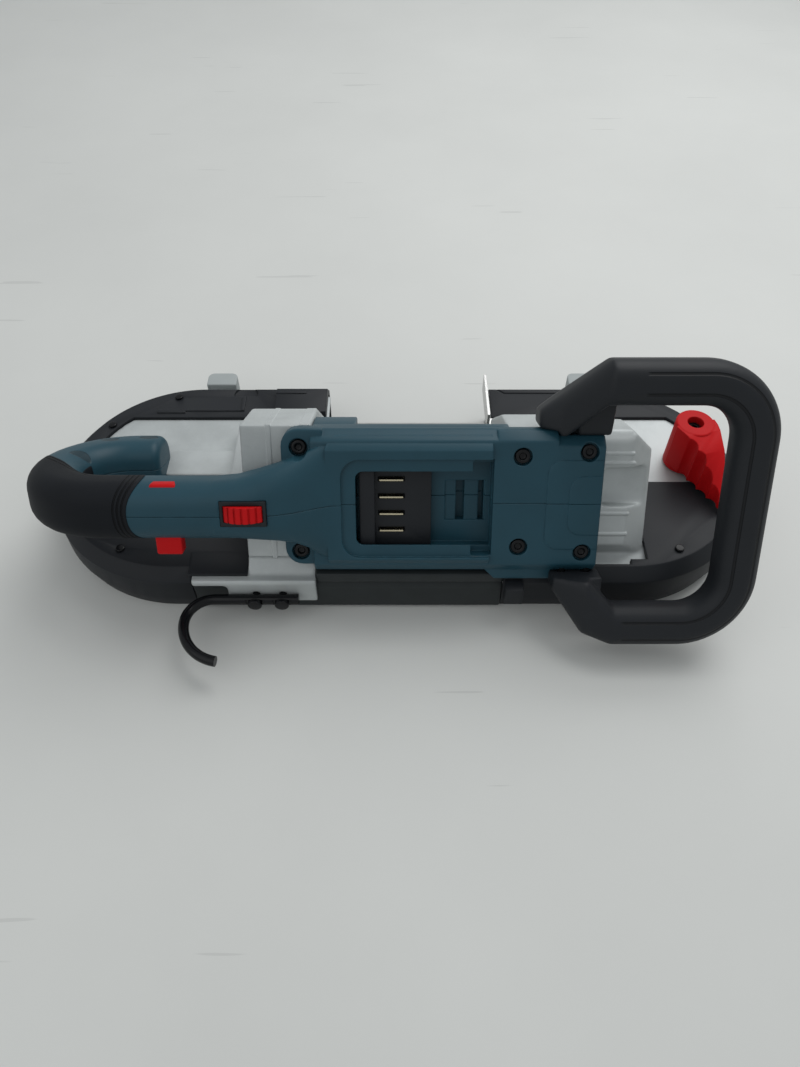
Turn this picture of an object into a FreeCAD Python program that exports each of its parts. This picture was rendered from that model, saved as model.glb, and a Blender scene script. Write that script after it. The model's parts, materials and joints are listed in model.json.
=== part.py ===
import FreeCAD, Part
import math
import os

V = FreeCAD.Vector

# Fits between pieces
RUN_GAP = 0.3
SHAFT_GAP = 0.03
SEAT_GAP = 0.02

# Blade: a closed band, twisted from the wheels' plane into the cutting plane
BLADE_LENGTH = 1140.0
BLADE_WIDTH = 12.7
BLADE_THICK = 0.6
BLADE_HEIGHT = 12.0
TOOTH_PITCH = 2.5
TOOTH_DEPTH = 1.3
TWIST = 60.0
TWIST_STEPS = 6
PLAIN_RUN = 16.0

# Wheels
WHEEL_DIA = 150.0
WHEEL_WIDTH = 16.0
TYRE_WIDTH = 14.0
TYRE_THICK = 3.0
TYRE_STAND = 0.9
RIM_THICK = 9.0
WEB_THICK = 6.0
HUB_R = 16.0
HUB_SINK = 4.0
COLLAR_R = 8.0
WHEEL_WINDOWS = 6
WINDOW_R = 14.0
WINDOW_CIRCLE_R = 43.0
NUT_FLATS = 17.0
NUT_HIGH = 5.0

# Where the tool's own axes start in the lying pose
TOOL_Y = 82.8
TOOL_Z = 20.0

# Throat between the two frames
THROAT_LEFT = -56.0
THROAT_RIGHT = 69.0
THROAT_DEPTH = 128.5

# Cast frames
LEDGE_BOTTOM = 30.5
LEDGE_TOP = 34.0
PLATE_TOP = 36.0
LEDGE_R = 86.0
LEDGE_BAND = 9.0
PLATE_FAR = 56.0
DRIVE_PLATE_NEAR = -35.0
IDLER_PLATE_NEAR = -12.0
RISER_WALL = 4.0
DRIVE_RISER_LEFT = -101.0
DRIVE_STEP_LEFT = -120.0
DRIVE_STEP_TOP = 54.0
DRIVE_STEP_NEAR = -33.0
DRIVE_RISER_FAR = 26.0
DRIVE_RISER_NEAR = -64.0
IDLER_RISER_RIGHT = 127.0
IDLER_RISER_FAR = 22.0
IDLER_RISER_NEAR = -66.0
RISER_KNEE_U = 110.0
RISER_FOOT_Y = 42.0
RISER_FOOT_TOP = 50.0
LOBE_RIGHT = 166.0
LOBE_SHOULDER = 150.0
LOBE_DROP = 8.0
LOBE_FAR = 20.0
LOBE_NEAR = -65.0
LOBE_INSET = 8.0
LOBE_FOOT = 6.0
RECESS_NEAR = -31.0
RECESS_FAR = -5.0
RECESS_DEEP = 9.0
RECESS_START = 6.0
CAPSULE_R = 12.5
CAPSULE_TOP = 46.0
STRIP_LEFT = -139.0
STRIP_STAND = 4.0
STRIP_WALL = 3.6
STRIP_WALL_LEFT = -116.0
STRIP_WALL_BOTTOM = 14.0
SPINE_FAR = -62.0
SPINE_RIB = 6.0
SPINE_RIB_HIGH = 3.0

# Blade guards
GUARD_ROOM = 10.21
GUARD_WALL = 3.0
GUARD_TOP = 38.0
GUARD_SLOPE = 8.0
GUARD_LAP = 2.0
GUARD_TAPER = 3.5
GUARD_TAPER_TOP = 12.0
GUARD_REAR_END = -58.0
GUARD_FRONT_END = 72.0
REAR_NEAR_END = -140.0
END_BLOCK_LEFT = -98.0
END_BLOCK_TOP = 44.0
COVER_BOTTOM = 3.0
COVER_LIP = 10.0
COVER_ROUND = 4.0

# Gear train
DRIVE_MODULE = 2.0
DRIVE_TEETH = 58
JACK_PINION_TEETH = 10
JACK_MODULE = 1.0
JACK_TEETH = 30
MOTOR_TEETH = 10
BACKLASH = 0.24
GEAR_GAP = 1.5
DRIVE_SHAFT_R = 5.0
DRIVE_BEARING_R = 9.5
BEARING_HIGH = 5.0
GEAR_SHAFT_R = 3.0
SMALL_BEARING_R = 8.0
GEAR_LOW = 29.0
GEAR_FACE = 3.5
GEAR_FLOOR = 37.0
GEARBOX_FLOOR = 44.0
SMALL_BEARING_HIGH = 4.0
MOTOR_ANGLE = -20.0
MOTOR_R = 16.0
MOTOR_CASE_WALL = 1.7
MOTOR_HIGH = 28.0
ROTOR_R = 9.5
STATOR_SLOTS = 6
FAN_BLADES = 9

# Tension gear
LEVER_X = 210.0
LEVER_Y = 10.0
LEVER_HUB_R = 15.0
LEVER_TOP = 76.0
LEVER_REACH = 58.0
LEVER_ANGLE = -76.0
CAM_R = 7.0
CAM_THROW = 4.0
CAM_PLAY = 1.25
LEVER_SHAFT_R = 6.0
AXLE_R = 6.0
CARRIAGE_HALF = 25.0
CARRIAGE_KEEL_HALF = 22.0
CARRIAGE_LEFT = 132.0
CARRIAGE_TRAVEL = 8.0
RAIL_BOTTOM = 29.0
POCKET_TOP = 33.7
RAIL_HALF = 32.0

# Blade guides
REAR_GUIDE_X = -68.0
FRONT_GUIDE_X = 79.0
ROLLER_R = 5.0
ROLLER_HALF = 4.0
PIN_R = 2.0
PIN_CAP = 1.2
BRACKET_HALF = 8.5
BRACKET_U0 = 9.5
BRACKET_U1 = 13.5
ARM_Y0 = 56.0
ARM_Y1 = 68.0
ARM_Z0 = 14.0

# Work stop
STOP_THICK = 2.0
STOP_HIGH = 16.0
STOP_LONG = 40.0
STOP_SET = 12.0

# Housing, in the tool's own upright axes: x along it, s across it, u up
SEAM_S = -21.4
BODY_NEAR = -69.0
BODY_FAR = 25.0
BODY_HIGH = 43.9
BODY_CHAMFER = 6.0
BODY_RIGHT = 127.0
BODY_STEP_X = 98.0
BODY_STEP_FAR = 21.5
BODY_UNDER_S = 5.0
BODY_UNDER_RISE = 21.5
TAB_X = -28.0
SHELL_WALL = 3.0
PLATE_HIGH = 14.4
BAY_FRAME_RISE = 4.0
BAY_FRAME_X0 = -43.0
BAY_FRAME_X1 = 62.0
BAY_X0 = -26.0
BAY_X1 = 57.0
BAY_S0 = -52.0
BAY_S1 = 4.0
BAY_RAIL = 4.0
TERMINAL_RIGHT = 20.0
TERMINAL_HIGH = 7.0
TERMINAL_STEP = 5.0
TERMINAL_STEP_X = -16.0
TERMINAL_COUNT = 4
TERMINAL_EDGE = 11.0
TERMINAL_PITCH = 11.3
TERMINAL_FLOOR = 3.0
BLADE_X0 = -13.0
BLADE_X1 = 2.0
BLADE_PLATE = 1.0
BLADE_STAND = 7.0
BLADE_ROOM = 1.0
EAR_LEFT = -74.0
EAR_DROP = 3.4
EAR_CUT = 12.0
NECK_X = -78.0
NECK_WIDTH = 52.0
NECK_RISE = 20.6
NECK_ROUND = 10.0
NECK_START_ROUND = 6.0

# Controller board under the bay
BOARD_X0 = -38.0
BOARD_X1 = 42.0
BOARD_S0 = -42.0
BOARD_S1 = 4.0
BOARD_THICK = 1.6
BOARD_STAND = 4.0
BOARD_POST_R = 2.5
BOARD_INSET = 5.0
CHIP_COUNT = 4
CHIP_LONG = 10.0
CHIP_WIDE = 12.0
CHIP_HIGH = 3.4
CHIP_PITCH = 14.0
CHIP_EDGE = 8.0
CAN_COUNT = 3
CAN_R = 5.0
CAN_HIGH = 12.4
CAN_PITCH = 13.0
CAN_EDGE = 12.0

# Rear handle, a D lying in a plane that leans from the upright
HANDLE_LEAN = 3.0
HANDLE_U = 177.0
HANDLE_WIDTH = 37.0
HANDLE_DEPTH = 35.0
HANDLE_ROUND = 14.0
HANDLE_START = -110.0
HANDLE_BEND_X = -185.0
HANDLE_BEND_R = 42.0
HANDLE_LOW_END = -168.6
GRIP_START = -172.0
GRIP_TURN = 108.0
GRIP_THICK = 2.5

# Controls
TRIGGER_X0 = -171.0
TRIGGER_X1 = -136.0
TRIGGER_WIDTH = 18.0
TRIGGER_REACH = 13.0
TRIGGER_PIN_R = 2.0
LOCK_X0 = -152.0
LOCK_X1 = -136.0
LOCK_HIGH = 9.0
LOCK_RISE = 1.5
LOCK_CHAMFER = 1.0
LOCK_NEAR = -50.0
LOCK_FAR = -3.0
DIAL_X = -95.0
DIAL_S = -20.5
DIAL_R = 17.0
DIAL_WIDTH = 10.0
DIAL_RIBS = 24
GROOVE_HALF = 0.6
GROOVE_DEEP = 0.8
DIAL_STUB_R = 2.0
DIAL_STUB = 2.4
DIAL_STAND = 4.5
BEZEL_HALF_X = 14.0
BEZEL_HALF_S = 8.0
BEZEL_STAND = 1.4
BEZEL_DEEP = 20.0

# Front handle, a loop lying level in the tool's own axes
LOOP_CLEAR = 14.07
LOOP_WIDTH = 27.0
LOOP_HIGH = 27.0
LOOP_ROUND = 11.0
LOOP_FAR = 57.5
LOOP_NEAR = -99.5
LOOP_RIGHT = 212.0
LOOP_BEND_R = 34.0
LOOP_FAR_X = 122.0
LOOP_NEAR_X = 136.0
FOOT_FAR_X0 = 86.0
FOOT_FAR_X1 = 126.0
FOOT_NEAR_X0 = 98.0
FOOT_NEAR_X1 = 130.0
FOOT_FAR_DROP = 18.0
FOOT_NEAR_RISE = 2.0
FOOT_TIP_HIGH = 20.0
FOOT_FAR_TIP = 14.0
FOOT_FAR_MID = 24.0
FOOT_MID_HIGH = 30.0
FOOT_SINK = 6.0
FOOT_LIFT = 4.0
FOOT_FAR_PAD = 9.0
FOOT_FAR_PAD_HIGH = 24.0
FOOT_NEAR_PAD = 8.0
FOOT_NEAR_RUN = 20.0
FOOT_NEAR_SPREAD = 7.5
FOOT_MID_DROP = 18.0
FOOT_MID_RISE = 9.0
BOLT_RISE = 8.0
BOLT_FAR_INSET = 7.0
BOLT_NEAR_INSET = 8.0
BOLT_FAR_SEAT = 5.0
BOLT_FAR_DEEP = 14.0
BOLT_NEAR_SEAT = 4.0
BOLT_NEAR_DEEP = 10.0
BOLT_END_GAP = 0.5
LOOP_GRIP_S0 = -62.0
LOOP_GRIP_S1 = 20.0

# Hang hook
HOOK_ROD_R = 3.5
HOOK_BEND_R = 18.0
HOOK_X = -124.0
HOOK_RIGHT = -68.0
HOOK_Z = 22.0
HOOK_OPEN_R = 30.0
HOOK_SWEEP = 80.0
HOOK_SCREW_X = (-97.0, -79.0)
HOOK_FLAT = 1.2
HOOK_FLAT_HALF = 6.0

# Rest feet
FOOT_WIDE = 24.0
FOOT_PAD_LONG = 15.0
FOOT_PAD_ROUND = 5.0
FOOT_STRAP_LONG = 16.0
FOOT_X = (-146.0, 150.0)
FOOT_STRAP_BOTTOM = 28.6
FOOT_PAD_BOTTOM = 22.0

# Screws
SCREW_HEAD_R = 4.75
SCREW_HEAD_HIGH = 3.2
SCREW_SHANK_R = 2.4
SCREW_SINK = 4.0
SCREW_LONG = 18.0
SCREW_GAP = 0.1
BOSS_WALL = 3.6
PLATE_SCREWS = ((76.0, 9.3), (117.0, 12.0), (76.0, -50.6), (117.0, -54.4))
EAR_SCREWS = ((-63.0, 14.3), (-64.0, -54.7))
GUARD_SCREW_R = 3.0
GUARD_SCREW_HIGH = 1.8
GUARD_SCREW_EDGE = 4.0
GUARD_SCREW_ANGLES = (105.0, 145.0, 205.0, 245.0)

# Places worked out from the driving dimensions
WHEEL_R = WHEEL_DIA / 2
TYRE_R = WHEEL_R - RUN_GAP
WHEEL_X = (BLADE_LENGTH - math.pi * WHEEL_DIA) / 4
WHEEL_LOW = BLADE_HEIGHT - WHEEL_WIDTH / 2
WHEEL_HIGH = BLADE_HEIGHT + WHEEL_WIDTH / 2
CUT_Y = WHEEL_R + BLADE_THICK / 2
JACK_X = -WHEEL_X + DRIVE_MODULE * (DRIVE_TEETH + JACK_PINION_TEETH) / 2
MOTOR_CENTRES = JACK_MODULE * (JACK_TEETH + MOTOR_TEETH) / 2
MOTOR_X = JACK_X + MOTOR_CENTRES * math.cos(math.radians(MOTOR_ANGLE))
MOTOR_Y = MOTOR_CENTRES * math.sin(math.radians(MOTOR_ANGLE))
MOTOR_LOW = GEARBOX_FLOOR + SMALL_BEARING_HIGH
MOTOR_TOP = MOTOR_LOW + MOTOR_HIGH
PLATE_R = LEDGE_R - LEDGE_BAND
GUARD_R = LEDGE_R + GUARD_SLOPE + GUARD_WALL
GUARD_NECK_R = LEDGE_R - GUARD_LAP
GUARD_X = WHEEL_X + WHEEL_R + GUARD_ROOM - GUARD_R
GUARD_SHOULDER = GUARD_TOP - GUARD_SLOPE
GUARD_SCREW_CIRCLE_R = LEDGE_R - GUARD_SCREW_EDGE
SPINE_NEAR = -GUARD_R
STRIP_NEAR = -GUARD_R - STRIP_STAND
FOOT_REACH = GUARD_R + FOOT_PAD_LONG
BODY_TOP = THROAT_DEPTH + BODY_HIGH
RISER_U = BODY_TOP - PLATE_HIGH
LOBE_U = RISER_U - LOBE_DROP
BODY_UNDER_U = THROAT_DEPTH + BODY_UNDER_RISE
BAY_FLOOR = RISER_U
BAY_FRAME_TOP = BODY_TOP + BAY_FRAME_RISE
EAR_TOP = BODY_TOP - EAR_DROP
NECK_TOP = BODY_TOP + NECK_RISE
BEZEL_TOP = NECK_TOP + BEZEL_STAND
LOCK_U0 = HANDLE_U + LOCK_RISE
FOOT_FAR_U0 = RISER_U - FOOT_FAR_DROP
FOOT_NEAR_U0 = RISER_U + FOOT_NEAR_RISE
NEAR_ARM_Y = -GUARD_R - LOOP_CLEAR - LOOP_WIDTH / 2
LOOP_U = (TOOL_Y + LOOP_NEAR * math.cos(math.radians(TWIST)) - NEAR_ARM_Y) / math.sin(math.radians(TWIST))
HOOK_Y = STRIP_NEAR - RUN_GAP - HOOK_ROD_R
HOOK_CENTRE_Y = HOOK_Y - HOOK_BEND_R
FAR_EDGE = FOOT_REACH
NEAR_EDGE = HOOK_CENTRE_Y - (HOOK_OPEN_R + HOOK_ROD_R) * math.sin(math.radians(HOOK_SWEEP))
ORIGIN = V(0, (FAR_EDGE + NEAR_EDGE) / 2, 0)
BIG = 400.0


# Basic solids
def box(x0, x1, y0, y1, z0, z1):
    return Part.makeBox(x1 - x0, y1 - y0, z1 - z0, V(x0, y0, z0))


def disc(radius, x, y, z0, z1):
    return Part.makeCylinder(radius, z1 - z0, V(x, y, z0))


def ring(outer, inner, x, y, z0, z1):
    return disc(outer, x, y, z0, z1).cut(disc(inner, x, y, z0, z1))


def rod(radius, start, end):
    return Part.makeCylinder(radius, (end - start).Length, start, end - start)


def face_of(points):
    return Part.Face(Part.makePolygon(points + [points[0]]))


def prism_z(points, z0, z1):
    return face_of([V(x, y, z0) for x, y in points]).extrude(V(0, 0, z1 - z0))


def prism_x(points, x0, x1):
    return face_of([V(x0, y, z) for y, z in points]).extrude(V(x1 - x0, 0, 0))


def prism_y(points, y0, y1):
    return face_of([V(x, y0, z) for x, z in points]).extrude(V(0, y1 - y0, 0))


def joined(shapes):
    return shapes[0].fuse(shapes[1:]).removeSplitter()


def less(shape, tools):
    return shape.cut(Part.makeCompound(tools))


def inset(points, distance):
    """A convex outline moved inwards by one distance on every side."""
    area = sum(a[0] * b[1] - b[0] * a[1] for a, b in zip(points, points[1:] + points[:1]))
    turn = 1 if area > 0 else -1
    lines = []
    for a, b in zip(points, points[1:] + points[:1]):
        length = math.hypot(b[0] - a[0], b[1] - a[1])
        normal = (-turn * (b[1] - a[1]) / length, turn * (b[0] - a[0]) / length)
        lines.append((normal, normal[0] * a[0] + normal[1] * a[1] + distance))
    out = []
    for (n, c), (m, d) in zip(lines[-1:] + lines[:-1], lines):
        det = n[0] * m[1] - n[1] * m[0]
        out.append(((c * m[1] - d * n[1]) / det, (n[0] * d - m[0] * c) / det))
    return out


def round_section(x, s, u, width, height, radius):
    """A rounded rectangle across the x axis, as a wire of four lines and four arcs."""
    a = width / 2
    b = height / 2
    k = radius * (1 - math.sqrt(0.5))
    corners = ((1, 1), (-1, 1), (-1, -1), (1, -1))
    edges = []
    ends = []
    for i, j in corners:
        side = V(x, s + i * a, u + j * (b - radius))
        flat = V(x, s + i * (a - radius), u + j * b)
        middle = V(x, s + i * (a - k), u + j * (b - k))
        first, last = (side, flat) if i * j > 0 else (flat, side)
        ends.append((first, last))
        edges.append(Part.Arc(first, middle, last).toShape())
    loop = []
    for n in range(4):
        loop.append(edges[n])
        loop.append(Part.LineSegment(ends[n][1], ends[(n + 1) % 4][0]).toShape())
    return Part.Wire(loop)


def turned(shape, centre, axis, angle):
    out = shape.copy()
    out.rotate(centre, axis, angle)
    return out


def tilted(shape):
    """From the tool's own upright axes to the pose in which it lies on its wheel side."""
    out = turned(shape, V(0, 0, 0), V(1, 0, 0), TWIST)
    out.translate(V(0, TOOL_Y, TOOL_Z))
    return out


def on_blade(shape):
    """From upright axes set on the cutting run of the blade to the lying pose."""
    out = turned(shape, V(0, 0, 0), V(1, 0, 0), TWIST)
    out.translate(V(0, CUT_Y, BLADE_HEIGHT))
    return out


def leaned(shape):
    """The rear handle's lean about the line of its upper leg."""
    return turned(shape, V(0, SEAM_S, HANDLE_U), V(1, 0, 0), HANDLE_LEAN)


def yz(s, u):
    """Where a point of the tool's own axes lies in the lying pose."""
    a = math.radians(TWIST)
    y = TOOL_Y + s * math.cos(a) - u * math.sin(a)
    z = TOOL_Z + s * math.sin(a) + u * math.cos(a)
    return y, z


# Blade
def blade_point(x, angle, across, out):
    a = math.radians(angle)
    y = CUT_Y + across * math.sin(a) + out * math.cos(a)
    z = BLADE_HEIGHT - across * math.cos(a) + out * math.sin(a)
    return V(x, y, z)


def twisted_stretch(x0, x1):
    """Plain band at x0 turning evenly into the cutting plane at x1."""
    half = BLADE_WIDTH / 2
    thin = BLADE_THICK / 2
    wires = []
    for n in range(TWIST_STEPS + 1):
        x = x0 + (x1 - x0) * n / TWIST_STEPS
        angle = TWIST * n / TWIST_STEPS
        corners = [(-half, -thin), (half, -thin), (half, thin), (-half, thin), (-half, -thin)]
        wires.append(Part.makePolygon([blade_point(x, angle, a, b) for a, b in corners]))
    return Part.makeLoft(wires, True, True)


def flat_ends():
    """Where the blade lies in the cutting plane, a little beyond both guides."""
    return REAR_GUIDE_X - BRACKET_HALF - 2, FRONT_GUIDE_X + BRACKET_HALF + 2


def toothed_stretch():
    half = BLADE_WIDTH / 2
    thin = BLADE_THICK / 2
    start, end = flat_ends()
    points = [(start, -half), (start, half)]
    for n in range(int((end - start) / TOOTH_PITCH)):
        x = start + n * TOOTH_PITCH
        points.append((x + TOOTH_PITCH * 0.35, half))
        points.append((x + TOOTH_PITCH * 0.5, half - TOOTH_DEPTH))
        points.append((x + TOOTH_PITCH * 0.95, half))
    points += [(end, half), (end, -half)]
    face = face_of([blade_point(x, TWIST, across, -thin) for x, across in points])
    lift = blade_point(0, TWIST, 0, thin) - blade_point(0, TWIST, 0, -thin)
    return face.extrude(lift)


def blade():
    z0 = BLADE_HEIGHT - BLADE_WIDTH / 2
    z1 = BLADE_HEIGHT + BLADE_WIDTH / 2
    outer = WHEEL_R + BLADE_THICK
    parts = [toothed_stretch(), box(-WHEEL_X, WHEEL_X, -outer, -WHEEL_R, z0, z1)]
    for side, flat_end in zip((-1, 1), flat_ends()):
        band = ring(outer, WHEEL_R, side * WHEEL_X, 0, z0, z1)
        ends = (-BIG, WHEEL_X) if side > 0 else (-WHEEL_X, BIG)
        inner = box(ends[0], ends[1], -BIG, BIG, 0, BIG)
        parts.append(band.cut(inner))
        plain_end = side * (WHEEL_X - PLAIN_RUN)
        ends = sorted((side * WHEEL_X, plain_end))
        parts.append(box(ends[0], ends[1], WHEEL_R, outer, z0, z1))
        parts.append(twisted_stretch(plain_end, flat_end))
    return joined(parts)


# Wheels
def wheel(x, bore):
    rim_r = TYRE_R - TYRE_THICK
    flange_r = TYRE_R - TYRE_STAND
    tyre_low = BLADE_HEIGHT - TYRE_WIDTH / 2
    tyre_high = BLADE_HEIGHT + TYRE_WIDTH / 2
    web_low = BLADE_HEIGHT - WEB_THICK / 2
    web_high = BLADE_HEIGHT + WEB_THICK / 2
    solid = joined([
        ring(flange_r, rim_r - RIM_THICK, x, 0, WHEEL_LOW, WHEEL_HIGH),
        disc(flange_r - 1, x, 0, web_low, web_high),
        disc(HUB_R, x, 0, WHEEL_LOW + HUB_SINK, WHEEL_HIGH)])
    cuts = [ring(flange_r + 1, rim_r, x, 0, tyre_low, tyre_high), disc(bore, x, 0, 0, BIG)]
    for n in range(WHEEL_WINDOWS):
        a = 2 * math.pi * n / WHEEL_WINDOWS
        cx = x + WINDOW_CIRCLE_R * math.cos(a)
        cy = WINDOW_CIRCLE_R * math.sin(a)
        cuts.append(disc(WINDOW_R, cx, cy, WHEEL_LOW, WHEEL_HIGH))
    return less(solid, cuts)


def tyre(x):
    low = BLADE_HEIGHT - TYRE_WIDTH / 2 + SEAT_GAP
    high = BLADE_HEIGHT + TYRE_WIDTH / 2 - SEAT_GAP
    return ring(TYRE_R, TYRE_R - TYRE_THICK + SEAT_GAP, x, 0, low, high)


def wheel_nut(x, bore):
    across = NUT_FLATS / math.sqrt(3)
    points = []
    for n in range(6):
        a = math.pi * n / 3
        points.append((x + across * math.cos(a), across * math.sin(a)))
    low = WHEEL_LOW + HUB_SINK - NUT_HIGH
    return prism_z(points, low, low + NUT_HIGH).cut(disc(bore, x, 0, 0, BIG))


# Gears
def gear(teeth, module, x, y, z0, z1, bore, first_angle):
    """Involute teeth; first_angle is the direction of one tooth's centre."""
    pitch_r = module * teeth / 2
    base_r = pitch_r * math.cos(math.radians(20))
    root_r = pitch_r - 1.2 * module
    tip_r = pitch_r + 0.9 * module

    def involute(r):
        if r <= base_r:
            return 0.0
        t = math.acos(base_r / r)
        return math.tan(t) - t

    half = math.pi / (2 * teeth) - BACKLASH * module / (2 * pitch_r)
    start_r = max(base_r, root_r)
    flank = []
    for n in range(4):
        r = start_r + (tip_r - start_r) * n / 3
        flank.append((r, half + involute(pitch_r) - involute(r)))
    root_half = flank[0][1]
    flank = [(root_r, min(root_half, 0.92 * math.pi / teeth))] + flank
    points = []
    for n in range(teeth):
        centre = math.radians(first_angle) + 2 * math.pi * n / teeth
        for r, a in flank:
            points.append((x + r * math.cos(centre - a), y + r * math.sin(centre - a)))
        for r, a in reversed(flank):
            points.append((x + r * math.cos(centre + a), y + r * math.sin(centre + a)))
    solid = prism_z(points, z0, z1)
    if bore:
        solid = solid.cut(disc(bore, x, y, z0, z1))
    return solid


def drive_gear():
    high = GEAR_LOW + GEAR_FACE
    return gear(DRIVE_TEETH, DRIVE_MODULE, -WHEEL_X, 0, GEAR_LOW, high, DRIVE_SHAFT_R + SEAT_GAP, 0)


def drive_shaft():
    low = WHEEL_LOW + HUB_SINK - NUT_HIGH - 1
    shaft = disc(DRIVE_SHAFT_R, -WHEEL_X, 0, low, LEDGE_TOP + 2 * BEARING_HIGH)
    return joined([shaft, disc(COLLAR_R, -WHEEL_X, 0, WHEEL_HIGH, GEAR_LOW)])


def drive_bearings():
    solids = []
    for n in range(2):
        low = LEDGE_TOP + n * BEARING_HIGH
        outer = DRIVE_BEARING_R - SEAT_GAP
        solids.append(ring(outer, DRIVE_SHAFT_R + SHAFT_GAP, -WHEEL_X, 0, low, low + BEARING_HIGH))
    return Part.makeCompound(solids)


def jack_shaft():
    high = GEAR_LOW + GEAR_FACE
    facing = 180 + 180 / JACK_PINION_TEETH
    pinion = gear(JACK_PINION_TEETH, DRIVE_MODULE, JACK_X, 0, GEAR_LOW, high, 0, facing)
    return joined([pinion, disc(GEAR_SHAFT_R, JACK_X, 0, GEAR_LOW, MOTOR_LOW - RUN_GAP)])


def jack_gear():
    low = GEAR_FLOOR + RUN_GAP
    high = GEARBOX_FLOOR - RUN_GAP
    return gear(JACK_TEETH, JACK_MODULE, JACK_X, 0, low, high, GEAR_SHAFT_R + SEAT_GAP, MOTOR_ANGLE)


def gear_bearings():
    """Four equal bearings: two on the jack shaft, two on the motor's shaft."""
    outer = SMALL_BEARING_R - SEAT_GAP
    places = ((JACK_X, 0, GEAR_FLOOR - SMALL_BEARING_HIGH), (JACK_X, 0, GEARBOX_FLOOR),
              (MOTOR_X, MOTOR_Y, GEARBOX_FLOOR), (MOTOR_X, MOTOR_Y, MOTOR_TOP))
    solids = []
    for x, y, low in places:
        solids.append(ring(outer, GEAR_SHAFT_R + SHAFT_GAP, x, y, low, low + SMALL_BEARING_HIGH))
    return Part.makeCompound(solids)


def gearbox_plate():
    left = DRIVE_STEP_LEFT + RISER_WALL + RUN_GAP
    right = THROAT_LEFT - RISER_WALL - RUN_GAP
    near = MOTOR_Y - MOTOR_R - 4
    far = JACK_TEETH * JACK_MODULE / 2 + 7
    plate = box(left, right, near, far, GEARBOX_FLOOR, MOTOR_LOW)
    holes = []
    for x, y in ((JACK_X, 0), (MOTOR_X, MOTOR_Y)):
        holes.append(disc(SMALL_BEARING_R, x, y, GEARBOX_FLOOR, MOTOR_LOW))
    return less(plate, holes)


def motor_case():
    return ring(MOTOR_R, MOTOR_R - MOTOR_CASE_WALL, MOTOR_X, MOTOR_Y, MOTOR_LOW, MOTOR_TOP)


def motor_span():
    return MOTOR_LOW + 5, MOTOR_TOP - 8


def motor_stator():
    low, high = motor_span()
    outer = MOTOR_R - MOTOR_CASE_WALL - SEAT_GAP
    core = ring(outer, ROTOR_R + 0.8, MOTOR_X, MOTOR_Y, low, high)
    slots = []
    for n in range(STATOR_SLOTS):
        slot = box(MOTOR_X + ROTOR_R, MOTOR_X + outer - 1.5, MOTOR_Y - 1.5, MOTOR_Y + 1.5, low, high)
        slots.append(turned(slot, V(MOTOR_X, MOTOR_Y, 0), V(0, 0, 1), 360.0 * n / STATOR_SLOTS))
    return less(core, slots)


def motor_rotor():
    low, high = motor_span()
    shaft = disc(GEAR_SHAFT_R, MOTOR_X, MOTOR_Y, GEAR_FLOOR + RUN_GAP, MOTOR_TOP + SMALL_BEARING_HIGH)
    return joined([disc(ROTOR_R, MOTOR_X, MOTOR_Y, low, high), shaft])


def motor_pinion():
    low = GEAR_FLOOR + RUN_GAP
    high = GEARBOX_FLOOR - RUN_GAP
    facing = 180 + MOTOR_ANGLE + 180 / MOTOR_TEETH
    return gear(MOTOR_TEETH, JACK_MODULE, MOTOR_X, MOTOR_Y, low, high, GEAR_SHAFT_R + SEAT_GAP, facing)


def motor_fan():
    low = motor_span()[1] + 2
    high = MOTOR_TOP - 1.5
    hub = disc(GEAR_SHAFT_R + 3, MOTOR_X, MOTOR_Y, low, high)
    reach = MOTOR_R - MOTOR_CASE_WALL - 1
    blades = [hub, disc(reach, MOTOR_X, MOTOR_Y, low, low + 1)]
    for n in range(FAN_BLADES):
        leaf = box(MOTOR_X, MOTOR_X + reach - 0.5, MOTOR_Y - 0.6, MOTOR_Y + 0.6, low, high)
        blades.append(turned(leaf, V(MOTOR_X, MOTOR_Y, 0), V(0, 0, 1), 360.0 * n / FAN_BLADES))
    return joined(blades).cut(disc(GEAR_SHAFT_R + SEAT_GAP, MOTOR_X, MOTOR_Y, low, high))


def motor_end_cap():
    high = MOTOR_TOP + SMALL_BEARING_HIGH
    return ring(MOTOR_R, SMALL_BEARING_R, MOTOR_X, MOTOR_Y, MOTOR_TOP, high)


# Cast frames
def riser_outline(near, far, near_y):
    return [(near_y, LEDGE_TOP), yz(near, RISER_U), yz(far, RISER_U), yz(far, RISER_KNEE_U),
            (RISER_FOOT_Y, RISER_FOOT_TOP), (RISER_FOOT_Y, LEDGE_TOP)]


def wheel_plate(x, inner_x, plate_near):
    """The ledge under a guard and the raised plate over one wheel."""
    left, right = sorted((x, inner_x))
    ledge = disc(LEDGE_R, x, 0, LEDGE_BOTTOM, LEDGE_TOP)
    ledge = ledge.fuse(box(left, right, -LEDGE_R, LEDGE_R, LEDGE_BOTTOM, LEDGE_TOP))
    island = disc(PLATE_R, x, 0, LEDGE_TOP, PLATE_TOP)
    island = island.common(box(-BIG, BIG, plate_near, PLATE_FAR, 0, BIG))
    island = island.fuse(box(left, right, plate_near, PLATE_FAR, LEDGE_TOP, PLATE_TOP))
    return ledge.fuse(island)


def screw_holes(screws, top):
    """Holes in a riser for the housing screws, along the tool's own up axis."""
    radius = SCREW_SHANK_R + SCREW_GAP
    holes = []
    for x, s in screws:
        seat = top - SCREW_SINK
        holes.append(tilted(disc(radius, x, s, seat - SCREW_LONG - 1, seat + 1)))
    return holes


def drive_outline():
    return riser_outline(DRIVE_RISER_NEAR, DRIVE_RISER_FAR, SPINE_NEAR)


def drive_riser():
    return prism_x(drive_outline(), DRIVE_RISER_LEFT, THROAT_LEFT)


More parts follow.
